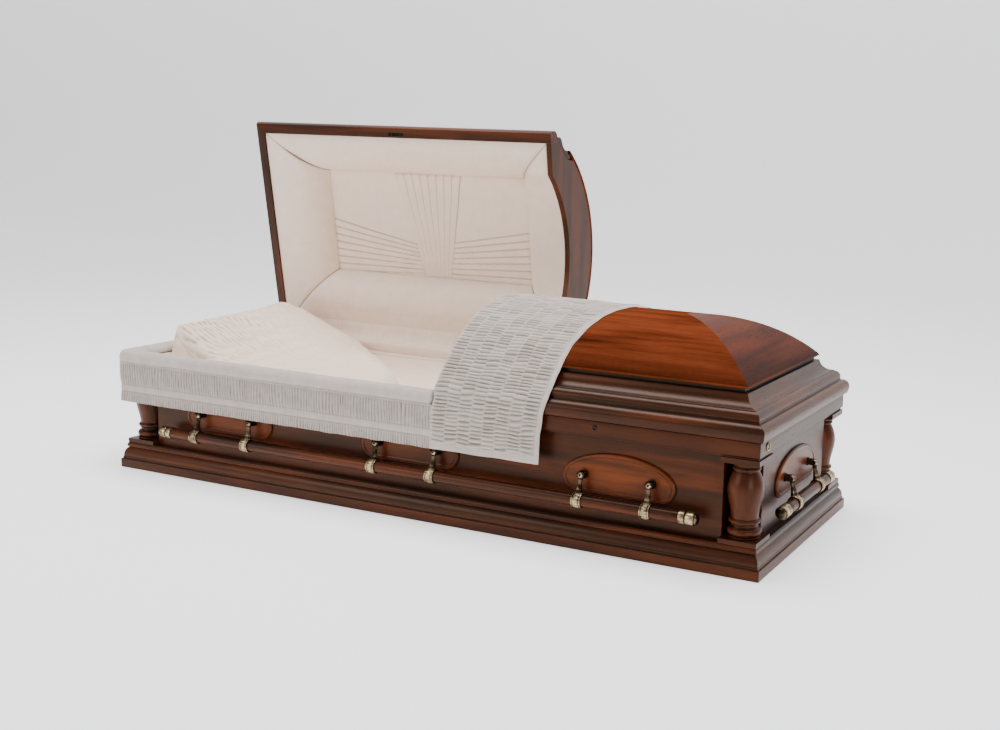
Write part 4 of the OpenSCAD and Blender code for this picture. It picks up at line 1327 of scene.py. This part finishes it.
# %% [markdown]
# ### A wedge becomes a cushion
#
# The wedge is remeshed evenly and then blown up a little as cloth under pressure, so that its
# edges round and its sides pull. Its underside is held, and no point may move more than a few
# millimetres, so the pillow keeps its place.

# %% Two helpers for meshes
def baked(obj):
    """the object's mesh with its modifiers applied"""
    graph = bpy.context.evaluated_depsgraph_get()
    mesh = bpy.data.meshes.new_from_object(obj.evaluated_get(graph))
    obj.modifiers.clear()
    old = obj.data
    obj.data = mesh
    bpy.data.meshes.remove(old)
    return obj


def read(mesh, what):
    """the places ("co") or normals ("normal") of a mesh's points, one row each"""
    numbers = np.empty(len(mesh.vertices) * 3)
    mesh.vertices.foreach_get(what, numbers)
    return numbers.reshape(-1, 3)


print("the wedge is %.0f mm long" % np.ptp(read(pillow.data, "co")[:, 0] / MM))

# %% Blow it up as cloth
even = pillow.modifiers.new("even mesh", "REMESH")
even.mode, even.voxel_size, even.use_smooth_shade = "VOXEL", 0.0075, True
baked(pillow)
before = read(pillow.data, "co")
cloth = pillow.modifiers.new("cloth", "CLOTH")
cloth.settings.quality = 5
cloth.settings.mass = 0.2
cloth.settings.tension_stiffness = cloth.settings.compression_stiffness = 12
cloth.settings.bending_stiffness = 0.3
cloth.settings.use_pressure = True
cloth.settings.uniform_pressure_force = 3.0
cloth.settings.effector_weights.gravity = 0
pins = pillow.vertex_groups.new(name="held")
for index in np.flatnonzero(before[:, 2] < (bed_z + 3.2) * MM):
    pins.add([int(index)], 1.0, "REPLACE")
cloth.settings.vertex_group_mass = "held"
for step in range(1, 17):
    bpy.context.scene.frame_set(step)
baked(pillow)
move = read(pillow.data, "co") - before
far = np.linalg.norm(move, axis=1)
limit = 7 * MM
move *= np.minimum(1, limit / np.maximum(far, 1e-9))[:, None]
pillow.data.vertices.foreach_set("co", (before + move).ravel())
bpy.context.scene.frame_set(1)
print("cloth moved %.1f mm at most" % (min(far.max(), limit) / MM))
finer = pillow.modifiers.new("finer", "SUBSURF")
finer.levels = finer.render_levels = 1
baked(pillow)
print("pillow of", len(pillow.data.polygons), "faces")

# %% [markdown]
# ### Gathers on the pillow
#
# The gathers run in from the high edges and fade out. They are raised after the pressure, because
# a simulation this coarse can't hold them.

# %% Gathers on the pillow
mesh = pillow.data
co, normal = read(mesh, "co") / MM, read(mesh, "normal")
x, y = co[:, 0], co[:, 1]
from_edge = x - np.interp(y, [-297, -230], [-735, -985])
reach_in = np.clip(from_edge / 16, 0, 1) * np.exp(-np.clip(from_edge, 0, 900) / 210)
reach_in = reach_in * np.clip((260 - y) / 330, 0.25, 1) * np.clip(normal[:, 2] * 2 - 0.4, 0, 1)
rows = fold(y / 15 + 0.7 * drift(x * 0.4, y, 80, 81), 0.7)
broken = np.clip(0.62 + 0.75 * drift(x, y * 2, 55, 82), 0.08, 1.1)
lift = 11.0 * (rows - 0.6) * reach_in * broken + 1.6 * drift(x, y, 170, 83) * (normal[:, 2] > 0)
co = co + normal * lift[:, None]
co[:, 2] = np.maximum(co[:, 2], bed_z + 0.8)
mesh.vertices.foreach_set("co", (co * MM).ravel())
# painted shade in the valleys between the gathers and along the crease by the pillow's front edge
carry(mesh, "seam", np.clip((1 - rows) * reach_in * broken * 2.2
                            + 0.5 * np.exp(-(from_edge / 5) ** 2) * (y < 60), 0, 1))
mesh.shade_smooth()
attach(pillow, "box")
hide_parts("pillow")
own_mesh(pillow)
print("gathers raised by up to %.1f mm" % lift.max())

# %% [markdown]
# ## The camera
#
# The camera stands at the front, off the foot end, a little above the lid, and looks slightly
# down. Three turns place it: its heading, its tilt, and a small roll.

# %% Camera
heading, tilt, roll = 0.42409, 0.17942, 0.032706
stand = Vector((2033.36, -3214.16, 1081.05))
ahead = Vector((-math.sin(heading) * math.cos(tilt), math.cos(heading) * math.cos(tilt),
                -math.sin(tilt)))
right = Vector((math.cos(heading), math.sin(heading), 0))
up = right.cross(ahead)
across = math.cos(roll) * right + math.sin(roll) * up
upright = -math.sin(roll) * right + math.cos(roll) * up
lens = bpy.data.cameras.new("camera")
lens.lens, lens.sensor_width, lens.shift_x, lens.shift_y = 45.45, 36.0, -0.15, 0.0
lens.clip_end = 60
camera = bpy.data.objects.new("camera", lens)
bpy.context.scene.collection.objects.link(camera)
turn = Matrix((across, upright, -ahead)).transposed().to_4x4()
camera.matrix_world = Matrix.Translation(stand * MM) @ turn
bpy.context.scene.camera = camera
print("camera %.2f m from the middle" % camera.matrix_world.translation.length)

# %% [markdown]
# ## Floor and light
#
# The casket stands on a plain pale floor that curves up behind it. A large soft light hangs
# overhead, and two weaker ones fill the front and the foot end.

# %% Floor and light
floor_line = [(-9000, 0), (5200, 0)] + [(5200 + 2600 * math.sin(t), 2600 * (1 - math.cos(t)))
                                        for t in np.linspace(0.1, math.pi / 2, 14)] \
    + [(7800, 12000)]
points = [(x, y, z - 0.4) for x in (-14000, 14000) for y, z in floor_line]
paper, shader, start, place = finish("pale paper", Specular_IOR_Level=0.1,
                                     Emission_Color=(1, 1, 1, 1), Emission_Strength=0.7)
feed(shader, Base_Color=place.clouds(3.0, 2.0).blend(rgb(243, 243, 244), rgb(240, 240, 241)),
     Roughness=place.clouds(40.0) * 0.1 + 0.85)
floor = make("floor", points, skin(2, len(floor_line), False), paper, body=None)


def softbox(name, place, target, size, power):
    """a rectangle of light at a place, aimed at a target"""
    light = bpy.data.lights.new(name, "AREA")
    light.shape, light.size, light.size_y = "RECTANGLE", size[0], size[1]
    light.energy = power
    lamp = bpy.data.objects.new(name, light)
    bpy.context.scene.collection.objects.link(lamp)
    aim = (Vector(target) - Vector(place)).to_track_quat("-Z", "Y")
    lamp.matrix_world = Matrix.Translation(Vector(place)) @ aim.to_matrix().to_4x4()


softbox("overhead", (0.0, 0.1, 4.3), (0, 0, 0.3), (4.8, 2.4), 330)
softbox("front left", (-3.0, -4.4, 2.4), (0, 0, 0.5), (2.6, 2.2), 105)
softbox("front right", (4.6, -3.2, 1.3), (0.7, 0, 0.3), (2.2, 2.0), 85)
sky = bpy.data.worlds.new("studio")
bpy.context.scene.world = sky
sky.use_nodes = True
backdrop = sky.node_tree.nodes["Background"]
backdrop.inputs["Color"].default_value = (1, 1, 1, 1)
backdrop.inputs["Strength"].default_value = 0.4
print("three softboxes")

# %% [markdown]
# ## Bring the scene up to date
#
# Last, the scene is brought up to date. The finished model has to stay inside the box of the
# construction, apart from what cloth may stand proud of it.

# %% Bring the scene up to date
bpy.context.view_layer.update()
